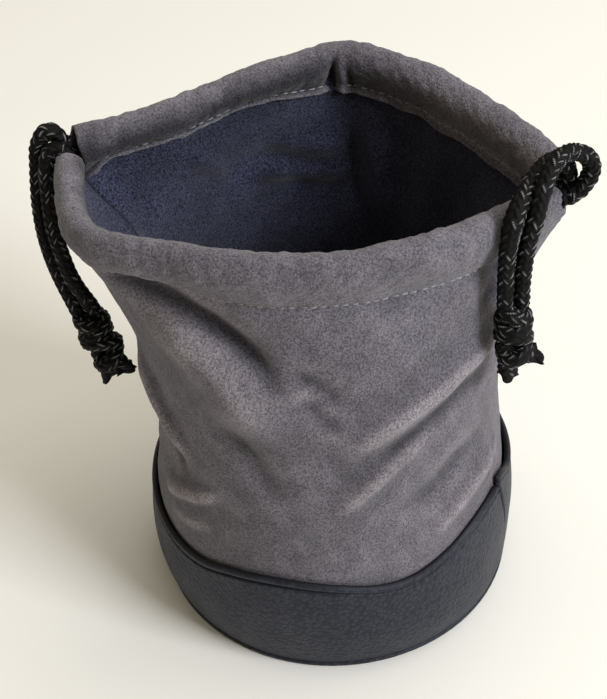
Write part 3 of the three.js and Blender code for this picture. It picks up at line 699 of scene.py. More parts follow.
class Look:
    """A node material in the making, with its patterns placed on the object."""

    def __init__(self, name):
        self.material = bpy.data.materials.new(name)
        self.material.use_nodes = True
        self.tree = self.material.node_tree
        self.place = self.node("ShaderNodeTexCoord", {}).outputs["Object"]

    def fill(self, made, inputs):
        """Sets or links a node's inputs by socket name or number."""
        for key, value in inputs.items():
            socket = made.inputs[key]
            if isinstance(value, bpy.types.NodeSocket):
                self.tree.links.new(value, socket)
            else:
                socket.default_value = (*value, 1) if socket.type == "RGBA" else value

    def node(self, kind, inputs, **settings):
        """A node with its settings and inputs."""
        made = self.tree.nodes.new(kind)
        for key, value in settings.items():
            setattr(made, key, value)
        self.fill(made, inputs)
        return made

    def attribute(self, name):
        """A value that the mesh carries at its points."""
        return self.node("ShaderNodeAttribute", {}, attribute_name=name).outputs["Fac"]

    def noise(self, scale, detail=3.0, roughness=0.55):
        """Noise of a given scale, as a value from 0 to 1."""
        inputs = {"Vector": self.place, "Scale": scale, "Detail": detail, "Roughness": roughness}
        return self.node("ShaderNodeTexNoise", inputs).outputs["Fac"]

    def maths(self, operation, *values):
        """Values put together by a named operation."""
        return self.node("ShaderNodeMath", dict(enumerate(values)), operation=operation).outputs[0]

    def ramp(self, value, low, high, first, last):
        """Maps a value between two limits to a colour between two colours."""
        made = self.node("ShaderNodeValToRGB", {"Fac": value})
        for element, position, colour in zip(made.color_ramp.elements, (low, high), (first, last)):
            element.position = position
            element.color = (*colour, 1)
        return made.outputs["Color"]

    def mottled(self, value, low, high, colour, first, last):
        """Maps a value between two limits to a shade of one colour."""
        return self.ramp(value, low, high, shade(colour, first), shade(colour, last))

    def mixed(self, factor, first, second, blend="MIX"):
        """Two colours mixed by a factor."""
        inputs = {0: factor, 6: first, 7: second}
        return self.node("ShaderNodeMix", inputs, data_type="RGBA", blend_type=blend).outputs[2]

    def toned(self, colour, *tone):
        """A colour times the tone that a ramp gives."""
        return self.mixed(1.0, colour, self.ramp(*tone), "MULTIPLY")

    def bump(self, height, strength, distance):
        """Normals bent by a height."""
        inputs = {"Height": height, "Strength": strength, "Distance": distance}
        return self.node("ShaderNodeBump", inputs).outputs["Normal"]

    def finish(self, **inputs):
        """The material, with its shader's inputs set or linked."""
        inputs = {key.replace("_", " "): value for key, value in inputs.items()}
        self.fill(self.tree.nodes["Principled BSDF"], inputs)
        return self.material


def suede_material(settings):
    """Brushed suede: uneven nap, dark pores and pale flecks, paler on ridges, partly wear and partly painted
    highlight, with painted shade in creases and below the flap's roll.
    """
    look = Look("brushed_suede")
    base = look.mottled(look.noise(40), 0.36, 0.64, settings.suede_colour, 0.87, 1.10)
    strokes = look.noise(190, 4, 0.6)
    base = look.toned(base, strokes, 0.34, 0.64, (0.86, 0.86, 0.87), (1.08, 1.08, 1.08))
    pores = look.noise(1500, 3, 0.6)
    base = look.toned(base, pores, 0.36, 0.58, (0.52, 0.52, 0.55), (1.12, 1.12, 1.11))
    flecks = look.noise(2900, 2, 0.7)
    base = look.toned(base, flecks, 0.36, 0.64, (0.66, 0.66, 0.68), (1.20, 1.19, 1.17))
    ridge = {"Value": look.attribute("ridge"), "From Min": -2.0}
    worn_and_shaded = look.node("ShaderNodeMapRange", ridge).outputs[0]
    # Painted shade: darker in creases and below the flap's roll
    base = look.toned(base, worn_and_shaded, 0.0, 0.66, (0.16, 0.16, 0.18), WHITE)
    # Paler, warmer ridges, partly wear and partly painted highlight, and painted light on the flap's right
    # part
    base = look.toned(base, worn_and_shaded, 0.66, 1.0, WHITE, (1.85, 1.80, 1.66))
    nap = look.bump(look.maths("MULTIPLY_ADD", strokes, 0.7, pores), 1.0, 0.0005)
    sheen = {"Sheen_Weight": 0.2, "Sheen_Roughness": 0.5}
    return look.finish(Base_Color=base, Roughness=0.95, Specular_IOR_Level=0.1, Normal=nap, **sheen)


def lining_material(settings):
    """Brushed lining: dark blue-grey with a fine nap, darker along seams, with painted shade in creases."""
    look = Look("brushed_lining")
    base = look.mottled(look.noise(60), 0.35, 0.65, settings.lining_colour, 0.8, 1.2)
    flecks = look.noise(1600, 2, 0.7)
    base = look.toned(base, flecks, 0.36, 0.64, (0.15, 0.15, 0.17), (1.50, 1.50, 1.46))
    # Darker along the side seams, and painted shade in the creases under the slack
    base = look.mixed(look.attribute("seam"), base, shade(settings.lining_colour, 0.15))
    nap = look.bump(flecks, 0.8, 0.0004)
    return look.finish(Base_Color=base, Roughness=0.95, Specular_IOR_Level=0.1, Sheen_Weight=0.2, Normal=nap)


def pebble_material(settings):
    """Pebbled synthetic leather: rounded cells with thin creases between them, a soft sheen, and painted
    shade in the stitched groove and along the top edge.
    """
    look = Look("pebbled_leather")
    inputs = {"Vector": look.place, "Scale": 260.0, "Detail": 2.0}
    bent = look.node("ShaderNodeTexNoise", inputs).outputs["Color"]
    inputs = {0: 0.0012, 4: look.place, 5: bent}
    moved = look.node("ShaderNodeMix", inputs, data_type="VECTOR").outputs[1]
    inputs = {"Vector": moved, "Scale": 760.0, "Smoothness": 0.35}
    cells = look.node("ShaderNodeTexVoronoi", inputs, feature="SMOOTH_F1").outputs["Distance"]
    base = look.mottled(cells, 0.15, 0.70, settings.colour, 1.25, 0.5)
    turned = look.maths("MULTIPLY", cells, look.maths("SUBTRACT", look.attribute("strip"), 1.0))
    return look.finish(
        # Painted shade in the stitched groove and along the top edge
        Base_Color=look.mixed(look.attribute("crease"), base, shade(settings.colour, 0.1)),
        Roughness=look.ramp(look.noise(90), 0.3, 0.7, (0.48,) * 3, (0.60,) * 3),
        Specular_IOR_Level=0.33,
        Specular_Tint=BAND_GLOSS,
        Normal=look.bump(turned, 0.7, 0.0005),
    )


def braid_material(settings):
    """Braided cord: dark yarns with fine fibres, and pale flecks where a fibre catches the light."""
    look = Look("braided_cord")
    fibres = look.noise(2600, 2, 0.6)
    base = look.mottled(fibres, 0.3, 0.7, settings.colour, 0.6, 1.6)
    base = look.mixed(look.attribute("fleck"), base, FLECK_COLOUR)
    relief = look.bump(fibres, 0.6, 0.0002)
    return look.finish(Base_Color=base, Roughness=0.6, Specular_IOR_Level=0.12, Normal=relief)


def thread_material(name, colour):
    """Twisted sewing thread."""
    look = Look(name)
    base = look.mottled(look.noise(2200, 2), 0.3, 0.7, colour, 0.6, 1.4)
    return look.finish(Base_Color=base, Roughness=0.9, Specular_IOR_Level=0.1)


def plain_material(name, colour, scale):
    """A dull, slightly mottled filling for pieces inside the base."""
    look = Look(name)
    base = look.mottled(look.noise(scale, 4), 0.3, 0.7, colour, 0.8, 1.15)
    return look.finish(Base_Color=base, Roughness=0.9)


def material_of(name, make, *settings):
    """A material by name, made once."""
    return bpy.data.materials.get(name) or make(*settings)


def close_with_rim(obj):
    """Bakes the piece's place into its points."""
    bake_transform(obj)


# Pieces


def suede_grid(half, columns=281, wall_rows=98, hem_rows=66):
    """Middle surface of one half of the suede, from behind the band over the crest to the raw inner edge."""
    u = np.linspace(0, 1, columns)[None, :].repeat(wall_rows + hem_rows, 0)
    rise = np.linspace(0, 1, wall_rows)[:, None]
    top = half.hem_line(u[:wall_rows])[..., 2]
    z = TUCK_HEIGHT + (top - TUCK_HEIGHT) * rise
    turn = np.linspace(0, 1, hem_rows + 1)[1:, None].repeat(columns, 1)
    grid = np.concatenate([half.wall(u[:wall_rows], z), half.hem(u[wall_rows:], turn)])
    length = np.concatenate([z, top[:1].repeat(hem_rows, 0) + turn * half.hem_length])
    return u, length, grid, length - top[:1]


def cloth_relief(half, settings, u, length):
    """Height of folds and small dents over the cloth, nothing at the side seams and behind the band."""
    x = (u - 0.5) * half.length
    fade = share_of(length - BAND_TOP, RELIEF_RISE) * (1 - half.near_seam(u))
    folds = settings.fold_strength * fold_heights(half.folds, x, length, half.length)
    dents = sum(share * soft_noise(x, length, size, seed) for size, seed, share in DENTS)
    return fade * folds, fade * settings.ripple * dents


def wear_and_shade(relief, reach, height):
    """How far a point stands out of the cloth round it: -1 in a crease, 1 on a ridge of a given height; this
    sets the painted shade in creases and the pale ridges, partly wear and partly painted highlight.
    """
    wide = relief
    for axis in (0, 1):
        wide = sum(np.roll(wide, k, axis) for k in range(-reach, reach + 1)) / (2 * reach + 1)
    return np.clip((relief - wide) / height, -1, 1)


def suede_surface(half, settings):
    """Middle surface of the suede with its folds, dents and the groove of the hem's stitches.

    The inner flap stands off by as much as the wall below it is drawn in, to leave room for the lining.
    Given with shares and lengths along the cloth, lengths past the stitches, normals and fold heights.
    """
    u, length, grid, past_seam = suede_grid(half)
    folds, dents = cloth_relief(half, settings, u, length)
    x = (u - 0.5) * half.length
    groove = -HEM_GROOVE * bell(past_seam, HEM_GROOVE_WIDTH) * (1 - half.near_seam(u))
    rough = sum(soft_noise(x, length, size, seed) for size, seed in ROUGH_SIZES)
    rough = rough * (ROUGH_WALL + ROUGH_HEM * share_of(past_seam, HEM_RISE))
    seam_row = np.abs(past_seam[:, 0]).argmin()
    drawn_in = np.minimum((folds + dents)[seam_row - 2], 0)
    flap = share_of(FLAP_OFF + past_seam - half.hem_length, FLAP_OFF_FADE)
    normals = out_of_cloth(half, u, grid)
    raised = grid + normals * (folds + dents + groove + rough - flap * drawn_in)[..., None]
    return u, length, raised, past_seam, normals, folds + DENT_WEAR_AND_SHADE * dents


def flap_painted_shading(half, u, from_edge, top=0.0200, fade=0.0060, foot=0.0016, foot_fade=0.0012):
    """Painted shade: one below the roll of the hem's inner face, fading unevenly upwards, to the raw edge and
    to the right, where it turns negative and paints light instead.

    Top and foot are its heights above the raw edge.
    """
    height, size, seed = 0.0024, 0.012, 8
    right, span, least = 0.65, 0.25, -0.45
    uneven = from_edge + height * soft_noise(u * half.length, from_edge, size, seed)
    low = share_of(top - uneven, fade) * share_of(from_edge - foot, foot_fade)
    return low * np.clip((right - u) / span, least, 1)


def build_suede(settings):
    """Both halves of the suede with their folded hems."""
    material = material_of("brushed_suede", suede_material, settings)
    for half in (FRONT, REAR):
        u, length, grid, past_seam, _, folds = suede_surface(half, settings)
        from_edge = half.hem_length - past_seam
        # Painted shade in creases and broad valleys; pale ridges, partly wear and partly painted highlight
        ridge = wear_and_shade(folds, *FINE_WEAR_AND_SHADE) + WIDE_CREASE_SHADE_SHARE * np.minimum(wear_and_shade(folds, *WIDE_CREASE_SHADE), 0)
        # Painted shade below the flap's roll, and painted light on its right part
        ridge -= FLAP_PAINTED_SHADING * flap_painted_shading(half, u, from_edge)
        ridge = np.tile(np.where(from_edge < RAW_EDGE, RAW_EDGE_WEAR, ridge).ravel(), 2)
        uv = np.tile(np.stack([u * half.length, length], -1).reshape(-1, 2), (2, 1))
        shape = closed_sheet(grid, settings.suede_thickness)
        obj = add_piece(f"suede_{half.name}_cloth", shape, material, "suede", uv, ridge=ridge)
        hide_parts(f"suede_{half.name}", f"casing_{half.name}")
        close_with_rim(obj)


def build_lining(settings):
    """Both halves of the lining, nested in the suede, from the base to behind the hem's raw edge."""
    material = material_of("brushed_lining", lining_material, settings)
    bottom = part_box("lining_front")[0][2]
    rows, columns = 96, 161
    turned = np.array((LINING_ALLOWANCE, 0, 0))
    for half in (FRONT, REAR):
        between = np.linspace(SEAM_EDGE, 1 - SEAM_EDGE, columns)
        u = np.concatenate([[0], between, [1]])[None, :].repeat(rows, 0)
        x = (u - 0.5) * half.length
        top = half.hem_line(u)[..., 2] + LINING_TOP
        z = bottom + (top - bottom) * np.linspace(0, 1, rows)[:, None]
        grid = half.wall(u, z)
        relief = sum(cloth_relief(half, settings, u, z))
        relief = relief + fold_heights(LINING_FOLDS[half.name], x, z, half.length)
        inside = LINING_INSIDE + LINING_LOWER * share_of(BAND_TOP - z, BAND_TOP)
        grid = grid + out_of_cloth(half, u, grid) * (relief - inside)[..., None]
        corner = share_of(np.abs(2 * u - 1) - CORNER_FROM, 1 - CORNER_FROM) ** 2
        corner = corner * share_of(z - BAND_TOP, CORNER_RISE) * share_of(top - CORNER_BELOW - z, CORNER_FADE)
        grid[..., 0] += CORNER_SLACK * np.where(u < 0.5, corner, -corner)
        grid = np.concatenate([grid[:, :1] - turned, grid, grid[:, -1:] + turned], 1)
        seam = SIDE_SEAM_DARK * bell(np.minimum(u, 1 - u) * half.length, SIDE_SEAM_WIDTH)
        # Painted shade in the creases under the slack
        seam += fold_heights(LINING_CREASE_SHADE[half.name], x, z, half.length)
        seam = np.tile(np.concatenate([seam[:, :1], seam, seam[:, -1:]], 1).ravel(), 2)
        shape = closed_sheet(grid, settings.lining_thickness)
        obj = add_piece(f"lining_{half.name}_cloth", shape, material, "lining", seam=seam)
        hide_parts(f"lining_{half.name}")
        close_with_rim(obj)


def band_angle(half, u, rise=1.0):
    """Angle round the base; the right end of both bands slants to the front of the side seam."""
    return half.angle(u) - BAND_SEAM_TURN * u * (BAND_SEAM_FOOT + (1 - BAND_SEAM_FOOT) * rise)


def band_height(half, u):
    """Top edge of the band; at the right seam the rear band stands above the front one."""
    line = smooth_line(np.array(BAND_EDGE) / (DEGREES_PER_HEIGHT, 1))
    degrees = np.degrees(band_angle(half, u)) % 360
    height = np.interp(degrees, line[:, 0] * DEGREES_PER_HEIGHT, line[:, 1])
    return height + (BAND_STEP * bell(1 - u, BAND_STEP_REACH) if half.sign > 0 else 0)


def band_grid(half, settings, columns=241, low_rows=18, edge_rows=30):
    """Outer face, turned top edge and inner face of the band as one closed section round the base.

    The face swells by half a sine wave over its height; the edge is a strip with a stitched groove below it.
    Given with how dark the painted shade in the creases at groove and edge is and how smooth the strip is,
    from 0 to 1.
    """
    u = np.linspace(SEAM_EDGE, 1 - SEAM_EDGE, columns)[None, :]
    low = BASE_TOP + GAP
    high = band_height(half, u)
    strip = high - EDGE_ROWS_DEPTH
    rise = np.linspace(0, 1, low_rows, endpoint=False)[:, None]
    fine = np.linspace(0, 1, edge_rows)[:, None]
    z = np.concatenate([low + (strip - low) * rise, strip + EDGE_ROWS_DEPTH * fine])
    z = np.concatenate([z, z[::-1]])
    rise = (z - low) / (high - low)
    below = high - z
    swell = settings.bulge * np.sin(np.pi * rise) - BAND_FOOT * (1 - rise) ** 5 + half.squeeze(u, z)
    groove = bell(below - STITCH_DEPTH, BAND_GROOVE_WIDTH)
    # Painted shade in the stitched groove and along the top edge
    creases = groove + bell(below, BAND_EDGE_SHADE_WIDTH)
    smooth = STRIP_SMOOTH * share_of(STITCH_DEPTH + STRIP_BELOW - below, STRIP_FADE)
    strip_swell = STRIP_SWELL * bell(below - STITCH_DEPTH / 2, BAND_ROLL)
    roll = settings.thickness / 2 * np.clip(1 - below / BAND_ROLL, 0, 1) ** 2
    outside = (np.arange(len(z)) < len(z) // 2)[:, None]
    outer = swell - BAND_GROOVE * groove + strip_swell - roll
    inner = swell - settings.thickness + roll
    radius = BAND_RADIUS + np.where(outside, outer, inner)
    angle = band_angle(half, u, rise)
    return np.stack([radius * np.cos(angle), radius * np.sin(angle), z], -1), creases, smooth


def build_band(settings):
    """Front and rear band, with the stitched, turned top edge."""
    material = material_of("pebbled_leather", pebble_material, settings)
    for half in (FRONT, REAR):
        grid, creases, smooth = band_grid(half, settings)
        values = {"crease": with_ends(creases.T), "strip": with_ends(smooth.T)}
        shape = tube(np.moveaxis(grid, 1, 0))
        obj = add_piece(f"band_{half.name}_leather", shape, material, "grained_band", **values)
        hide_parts(f"band_{half.name}")
        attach(obj, "pouch")


def disc(radius, low, high, crown, rings=24, sides=96, corner=0.0008, steps=9):
    """A round disc with rounded corners and a crowned top, turned about the pouch's axis."""
    t = np.linspace(0, 1, rings)
    edge = np.linspace(-np.pi / 2, np.pi / 2, steps)
    size = min(corner, (high - low) / 2)
    flat = radius - size
    r = np.concatenate([t[1:] * flat, flat + size * np.cos(edge), flat * t[::-1][:-1]])
    middle = np.where(edge < 0, low + size, high - size)
    z = np.concatenate([np.full(rings - 1, low), middle + size * np.sin(edge), np.full(rings - 1, high)])
    on_top = np.arange(len(r)) >= rings + steps - 1
    z = z + np.where(on_top, crown * (1 - (r / radius) ** 2), 0)
    angle = np.linspace(0, 2 * np.pi, sides, endpoint=False)
    grid = np.stack([r[:, None] * np.cos(angle), r[:, None] * np.sin(angle), z[:, None] + 0 * angle], -1)
    return tube(grid, np.array([(0, 0, low), (0, 0, high + crown)]))


def build_base(cloth, band):
    """Base cover, foam pad and the lining disc on top of it, and finishes for the hidden board."""
    leather = material_of("pebbled_leather", pebble_material, band)
    lining = material_of("brushed_lining", lining_material, cloth)
    foam = plain_material("base_foam_fill", FOAM_COLOUR, scale=400)
    pieces = (
        ("base_cover_leather", "base_cover", leather, "grained_band", 0.0),
        ("base_pad", "base_foam", foam, "foam", 0.0),
        ("base_lining_disc", "base_lining", lining, "lining", 0.0015),
    )
    for name, cad, material, slot, crown in pieces:
        low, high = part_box(cad)
        obj = add_piece(name, disc(high[0], low[2], high[2], crown), material, slot)
        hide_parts(cad)
        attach(obj, "pouch")
    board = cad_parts["base_board"]
    board.data.materials.clear()
    board.data.materials.append(plain_material("fibre_board", BOARD_COLOUR, scale=700))


def braid(line, start, end, facing, settings, per_mm=5.0, sides=48, wide=1.0, pressed=0.6, dark=0.4):
    """Rings of a braided cord between two distances along a line, with the fleck value of each point.

    Yarns wind both ways round the cord. Each lies over two others, then under two:
    over them it stands out as a bump, arched along its own direction and rounded across it.
    Where the line bends, the cord is pressed wider across the bend and bulges on the inside of it.
    The dark share of the yarns carries no flecks.
    """
    count = max(8, int((end - start) * 1000 * per_mm))
    s = np.linspace(start, end, count)
    centre = along(line, s)
    tangent = unit(np.gradient(centre, axis=0))
    facing = np.array(facing)
    normal = unit(facing - (tangent @ facing)[:, None] * tangent)
    side = np.cross(tangent, normal)
    turn = np.linspace(0, 2 * np.pi, sides, endpoint=False)
    a = settings.carriers * (turn[None, :] / (2 * np.pi) + s[:, None] / settings.pitch)
    b = settings.carriers * (turn[None, :] / (2 * np.pi) - s[:, None] / settings.pitch)
    over = (np.floor(a) + np.floor(b)) % 4
    on_top = over < 2
    own, other = np.where(on_top, a, b), np.where(on_top, b, a)
    crossed = np.where(on_top, over, over - 2)
    across = own % 1
    lengthwise = (other % 1 + crossed) / 2
    arch = (1 - (2 * across - 1) ** 2) ** 0.5 * (YARN_DIP + (1 - YARN_DIP) * np.sin(np.pi * lengthwise))
    radius = settings.radius * wide + settings.relief * (arch - YARN_LEVEL)
    ring = normal[:, None, :] * np.cos(turn)[None, :, None] + side[:, None, :] * np.sin(turn)[None, :, None]
    bend = np.gradient(tangent, s, axis=0)
    inwards = unit(bend)[:, None, :]
    across_bend = np.cross(tangent[:, None, :], inwards)
    widen = np.clip(pressed * settings.radius * np.linalg.norm(bend, axis=1), 0, MOST_PRESSED)[:, None]
    ring = ring + (widen * np.sum(ring * across_bend, -1))[..., None] * across_bend
    ring = ring + (widen * np.clip(np.sum(ring * inwards, -1), 0, 1))[..., None] * inwards
    rings = centre[:, None, :] + radius[..., None] * ring
    yarn = SCATTER[0] * np.floor(own) + SCATTER[1] * (np.floor(other) - crossed)
    cell = np.sin(yarn) * SCATTER[2] % 1
    streak = bell(across - FLECK_FROM - FLECK_SPREAD * cell, FLECK_WIDTH)
    streak = streak * bell(lengthwise - 0.5, FLECK_LENGTH, power=4)
    return rings, streak * np.clip((cell * SCATTER[3] % 1 - dark) * FLECK_GAIN, 0, 1)


def add_cord(name, rings, fleck, material):
    """One closed braided tube as a piece."""
    return add_piece(name, tube(rings), material, "braid", fleck=with_ends(fleck))


def knot_frame(side):
    """A knot's faces, its axis from foot to top, and the direction from the rear strand to the front one."""
    top, foot, spread = (np.array(v) for v in KNOTS[side])
    axis = unit(top - foot)
    return top, foot, axis, unit(spread - (spread @ axis) * axis)


def seat(side, strand, face, outwards, radius):
    """Where a strand meets a face of its knot, and a point straight out from there."""
    aside = knot_frame(side)[3]
    sign = 1 if strand == "front" else -1
    near = face + aside * sign * (radius + GAP / 2) + outwards * GAP
    return [near, near + outwards * KNOT_APPROACH]


def strand_line(side, strand, radius):
    """Route of one strand from inside the hem to its knot, and the distance of the hem's mouth along it."""
    top, _, axis, _ = knot_frame(side)
    points = [np.array(p) for p in CORD_ROUTES[f"{side}_{strand}"]]
    points += seat(side, strand, top, axis, radius)[::-1]
    line = smooth_line(points)
    return line, lengths_of(line)[MOUTH_INDEX * SPANS]


def build_strands(settings):
    """Leads in the hems' mouths, hanging strands, and the runs inside the hems."""
    material = material_of("braided_cord", braid_material, settings)
    for key in CORD_ROUTES:
        side, strand = key.split("_")
        line, mouth = strand_line(side, strand, settings.radius)
        first, split = mouth - LEAD_INSIDE, mouth + LEAD_OUTSIDE
        total = lengths_of(line)[-1]
        rings, fleck = braid(line, first, split, BRAID_FACING[side], settings)
        lead = add_cord(f"{side}_lead_{strand}_braid", rings, fleck, material)
        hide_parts(f"{side}_lead_{strand}")
        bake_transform(lead)
        rings, fleck = braid(line, split, total, BRAID_FACING[side], settings)
        obj = add_cord(f"{side}_strand_{strand}_braid", rings, fleck, material)
        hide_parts(f"{side}_strand_{strand}")
        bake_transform(obj)
    for half in (FRONT, REAR):
        line = half.crest_at(np.linspace(RUN_END, 1 - RUN_END, 80))
        line[:, 2] -= RUN_DEPTH
        total = lengths_of(line)[-1]
        rings, fleck = braid(line, 0, total, RUN_FACING, settings, per_mm=2.0, sides=24)
        obj = add_cord(f"{half.name}_run_braid", rings, fleck, material)
        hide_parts(f"{half.name}_cord_run")
        close_with_rim(obj)


def knot_lines(side, radius):
    """Ways of the cord through a knot: two strands wound once round the axis, and slanted loops over them."""
    top, foot, axis, aside = knot_frame(side)
    third = np.cross(axis, aside)
    t = np.linspace(0, 1, 60)

    def spokes(turn):
        return np.cos(turn)[:, None] * aside + np.sin(turn)[:, None] * third

    middle = foot + axis * np.linalg.norm(top - foot) * (1 - t)[:, None]
    reach = radius + GAP / 2 + KNOT_SWELL[side] * np.sin(np.pi * t) ** 0.5
    lines = [middle + sign * reach[:, None] * spokes(2 * np.pi * t) for sign in (1, -1)]
    for share, reach, slant, phase in KNOT_LOOPS:
        turn = 2 * np.pi * t + phase
        wave = slant * np.cos(turn - phase + LOOP_LAG)
        loop = KNOT_SIZE[side] * reach * spokes(turn) + wave[:, None] * axis
        lines.append(foot + share * (top - foot) + loop)
    return lines


def build_knots(settings):
    """Both knots and the cut ends below them."""
    material = material_of("braided_cord", braid_material, settings)
    for side in KNOTS:
        top, foot, axis, aside = knot_frame(side)
        parts = []
        for line in knot_lines(side, settings.radius):
            parts.append(braid(line, 0, lengths_of(line)[-1], axis, settings, pressed=0.15, dark=0.1))
        core = np.stack([foot, top])
        parts.append(braid(core, 0, np.linalg.norm(top - foot), aside, settings, wide=KNOT_CORE))
        for seed, strand in enumerate(("front", "rear")):
            points = [np.array(p) for p in CORD_ENDS[f"{side}_{strand}"]]
            tail = smooth_line(seat(side, strand, foot, -axis, settings.radius) + points)
            rings, fleck = braid(tail, 0, lengths_of(tail)[-1], END_FACING, settings)
            rings = fray(rings, tail, seed + len(side))
            obj = add_cord(f"{side}_end_{strand}_braid", rings, fleck, material)
            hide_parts(f"{side}_end_{strand}")
            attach(obj, f"{side}_tail")
        points, faces = zip(*(tube(rings) for rings, _ in parts))
        start = np.cumsum([0] + [len(p) for p in points])
        shape = np.concatenate(points), np.concatenate([f + s for f, s in zip(faces, start)])
        fleck = np.concatenate([with_ends(f) for _, f in parts])
        obj = add_piece(f"{side}_knot_braid", shape, material, "braid", fleck=fleck)
        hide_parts(f"{side}_knot")
        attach(obj, f"{side}_tail")


def fray(rings, line, seed, begin=0.5, flatten=0.6, widen=0.25, wave=0.18, long=0.0018, short=0.0007):
    """Presses the last stretch of a cut end flat and wide, and draws its rim out to uneven points."""
    count, sides = rings.shape[:2]
    centre = rings.mean(1, keepdims=True)
    share = share_of(np.linspace(0, 1, count) - begin, 1 - begin)[:, None, None]
    turn = np.linspace(0, 2 * np.pi, sides, endpoint=False)
    ahead = unit(line[-1] - line[-12])
    flat = unit(np.array(MELTED_FACE) - (ahead @ MELTED_FACE) * ahead)
    spoke = rings - centre
    pressed = spoke - flatten * share * (spoke @ flat)[..., None] * flat
    wide = pressed * (1 + share * (widen + wave * np.sin(3 * turn + seed)[None, :, None]))
    points = long * np.sin(turn + 2 * seed) + short * np.sin(3 * turn + seed)
    return centre + wide + share**2 * points[None, :, None] * ahead


def stitch_row(points, normals, step, radius, rows=9, sides=6):
    """Short threads laid along a line: each is a spindle that dips into the cloth at both ends."""
    t = np.linspace(-1, 1, rows)
    turn = np.linspace(0, 2 * np.pi, sides, endpoint=False)[:, None]
    tangent = unit(np.gradient(points, axis=0))
    side = np.cross(tangent, normals)
    thick = radius * np.sqrt(np.clip(STITCH_BLUNT - t**2, 0, 1))
    centre = (
        points[:, None, :]
        + tangent[:, None, :] * (t * STITCH_SHARE * step / 2)[None, :, None]
        + normals[:, None, :] * (radius * STITCH_LIFT - STITCH_SINK * t**2)[None, :, None]
    )
    ring = normals[:, None, None, :] * np.cos(turn) + side[:, None, None, :] * np.sin(turn)
    rings = centre[:, :, None, :] + ring * thick[None, :, None, None]
    foot = np.array([[0, 1, 2, 3], [0, 3, 4, 5]])
    head = np.roll(foot[:, ::-1], 1, 1) + (rows - 1) * sides
    faces = np.concatenate([grid_faces(rows, sides, wrap=True), foot, head])
    starts = np.arange(len(points)) * rows * sides
    return rings.reshape(-1, 3), (faces[None] + starts[:, None, None]).reshape(-1, 4)


def build_stitches(cloth):
    """Thread along the hems' stitch lines, on both faces, and along the band's turned edge."""
    pale = thread_material("pale_thread", PALE_THREAD)
    dark = thread_material("dark_thread", DARK_THREAD)
    for half in (FRONT, REAR):
        u, _, grid, past_seam, normals, _ = suede_surface(half, cloth)
        flap = half.hem_length - FLAP_STITCH_RISE
        places = (("hem", 0.0, HEM_STITCH, -STITCH_LAG), ("flap", flap, FLAP_STITCH, STITCH_LAG))
        for name, height, step, ahead in places:
            row = np.abs(past_seam[:, 0] - height).argmin()
            last = u.shape[1] - 1 - STITCH_START
            spots = np.linspace(STITCH_START, last, int(half.length / step)).astype(int)
            out = normals[row, spots]
            line = grid[row, spots] + out * cloth.suede_thickness / 2
            shape = stitch_row(line, out, step, HEM_THREAD)
            obj = add_piece(f"{name}_stitches_{half.name}", shape, pale, "suede")
            close_with_rim(obj)
        u = np.linspace(BAND_STITCH_ENDS, 1 - BAND_STITCH_ENDS, int(np.pi * BAND_RADIUS / BAND_STITCH))
        angle = band_angle(half, u)
        z = band_height(half, u) - STITCH_DEPTH
        out = np.stack([np.cos(angle), np.sin(angle), 0 * angle], -1)
        points = out * (BAND_RADIUS - BAND_STITCH_INSET + half.squeeze(u, z))[:, None]
        points[:, 2] = z
        shape = stitch_row(points, out, BAND_STITCH, BAND_THREAD)
        obj = add_piece(f"band_stitches_{half.name}", shape, dark, "grained_band")
        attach(obj, "pouch")


def stand(name, data, axes, place):
    """A light or a camera in the scene, by its axes to the right, up and back and by its place."""
    obj = add_object(name, data)
    obj.matrix_world = Matrix([*np.stack([*axes, place], 1).tolist(), (0, 0, 0, 1)])
    return obj


def area_light(name, place, size, power, colour):
    """A square light that faces the pouch."""
    light = bpy.data.lights.new(name, "AREA")
    light.size = size
    light.energy = power
    light.color = colour
    back = unit(np.array(place) - np.array(LIGHT_AIM))
    right = unit(np.cross((0, 0, 1), back))
    stand(name, light, (right, np.cross(back, right), back), place)


def build_stage(settings):
    """Pale floor, soft light from the front right and from above, even fill and the camera."""
    scene = bpy.context.scene
    x, y = np.meshgrid((-FLOOR_SIZE, FLOOR_SIZE), (-FLOOR_SIZE, FLOOR_SIZE))
    points = np.stack([x, y, np.full_like(x, FLOOR_HEIGHT)], -1).reshape(-1, 3)
    mesh = bpy.data.meshes.new("floor")
    mesh.from_pydata(points.tolist(), [], grid_faces(2, 2).tolist())
    look = Look("pale_floor")
    tone = look.mottled(look.noise(3, 2), 0.3, 0.7, settings.floor_colour, 0.98, 1.01)
    mesh.materials.append(look.finish(Base_Color=tone, Roughness=0.8))
    floor = add_object("floor", mesh)
    area_light("key_light", (1.58, -0.70, 1.22), 0.8, settings.key_power, (0.97, 0.985, 1.0))
    area_light("top_light", (0.20, 0.25, 1.20), 1.0, settings.top_power, (1.0, 0.965, 0.88))
    world = bpy.data.worlds.new("soft_room")
    world.use_nodes = True
    background = world.node_tree.nodes["Background"]
    background.inputs["Color"].default_value = (*ROOM_LIGHT, 1)
    background.inputs["Strength"].default_value = settings.fill
    scene.world = world
    scene.view_settings.view_transform = "Standard"
    camera = bpy.data.cameras.new("photo_camera")
    camera.sensor_fit = "HORIZONTAL"
    camera.sensor_width = CAMERA_SENSOR
    camera.lens = CAMERA_LENS
    camera.clip_start = CAMERA_NEAR
    scene.camera = stand("photo_camera", camera, CAMERA_AXES, CAMERA_PLACE)


class POUCH_OT_stage(bpy.types.Operator):
    """Make the floor, the light and the camera"""

    bl_idname = "pouch.stage"
    bl_label = "Stage"

    def execute(self, context):
        build_stage(context.scene.pouch_stage)
        return {"FINISHED"}


class POUCH_OT_strands(bpy.types.Operator):
    """Make the drawcords"""

    bl_idname = "pouch.strands"
    bl_label = "Drawcords"

    def execute(self, context):
        build_strands(context.scene.pouch_cord)
        return {"FINISHED"}


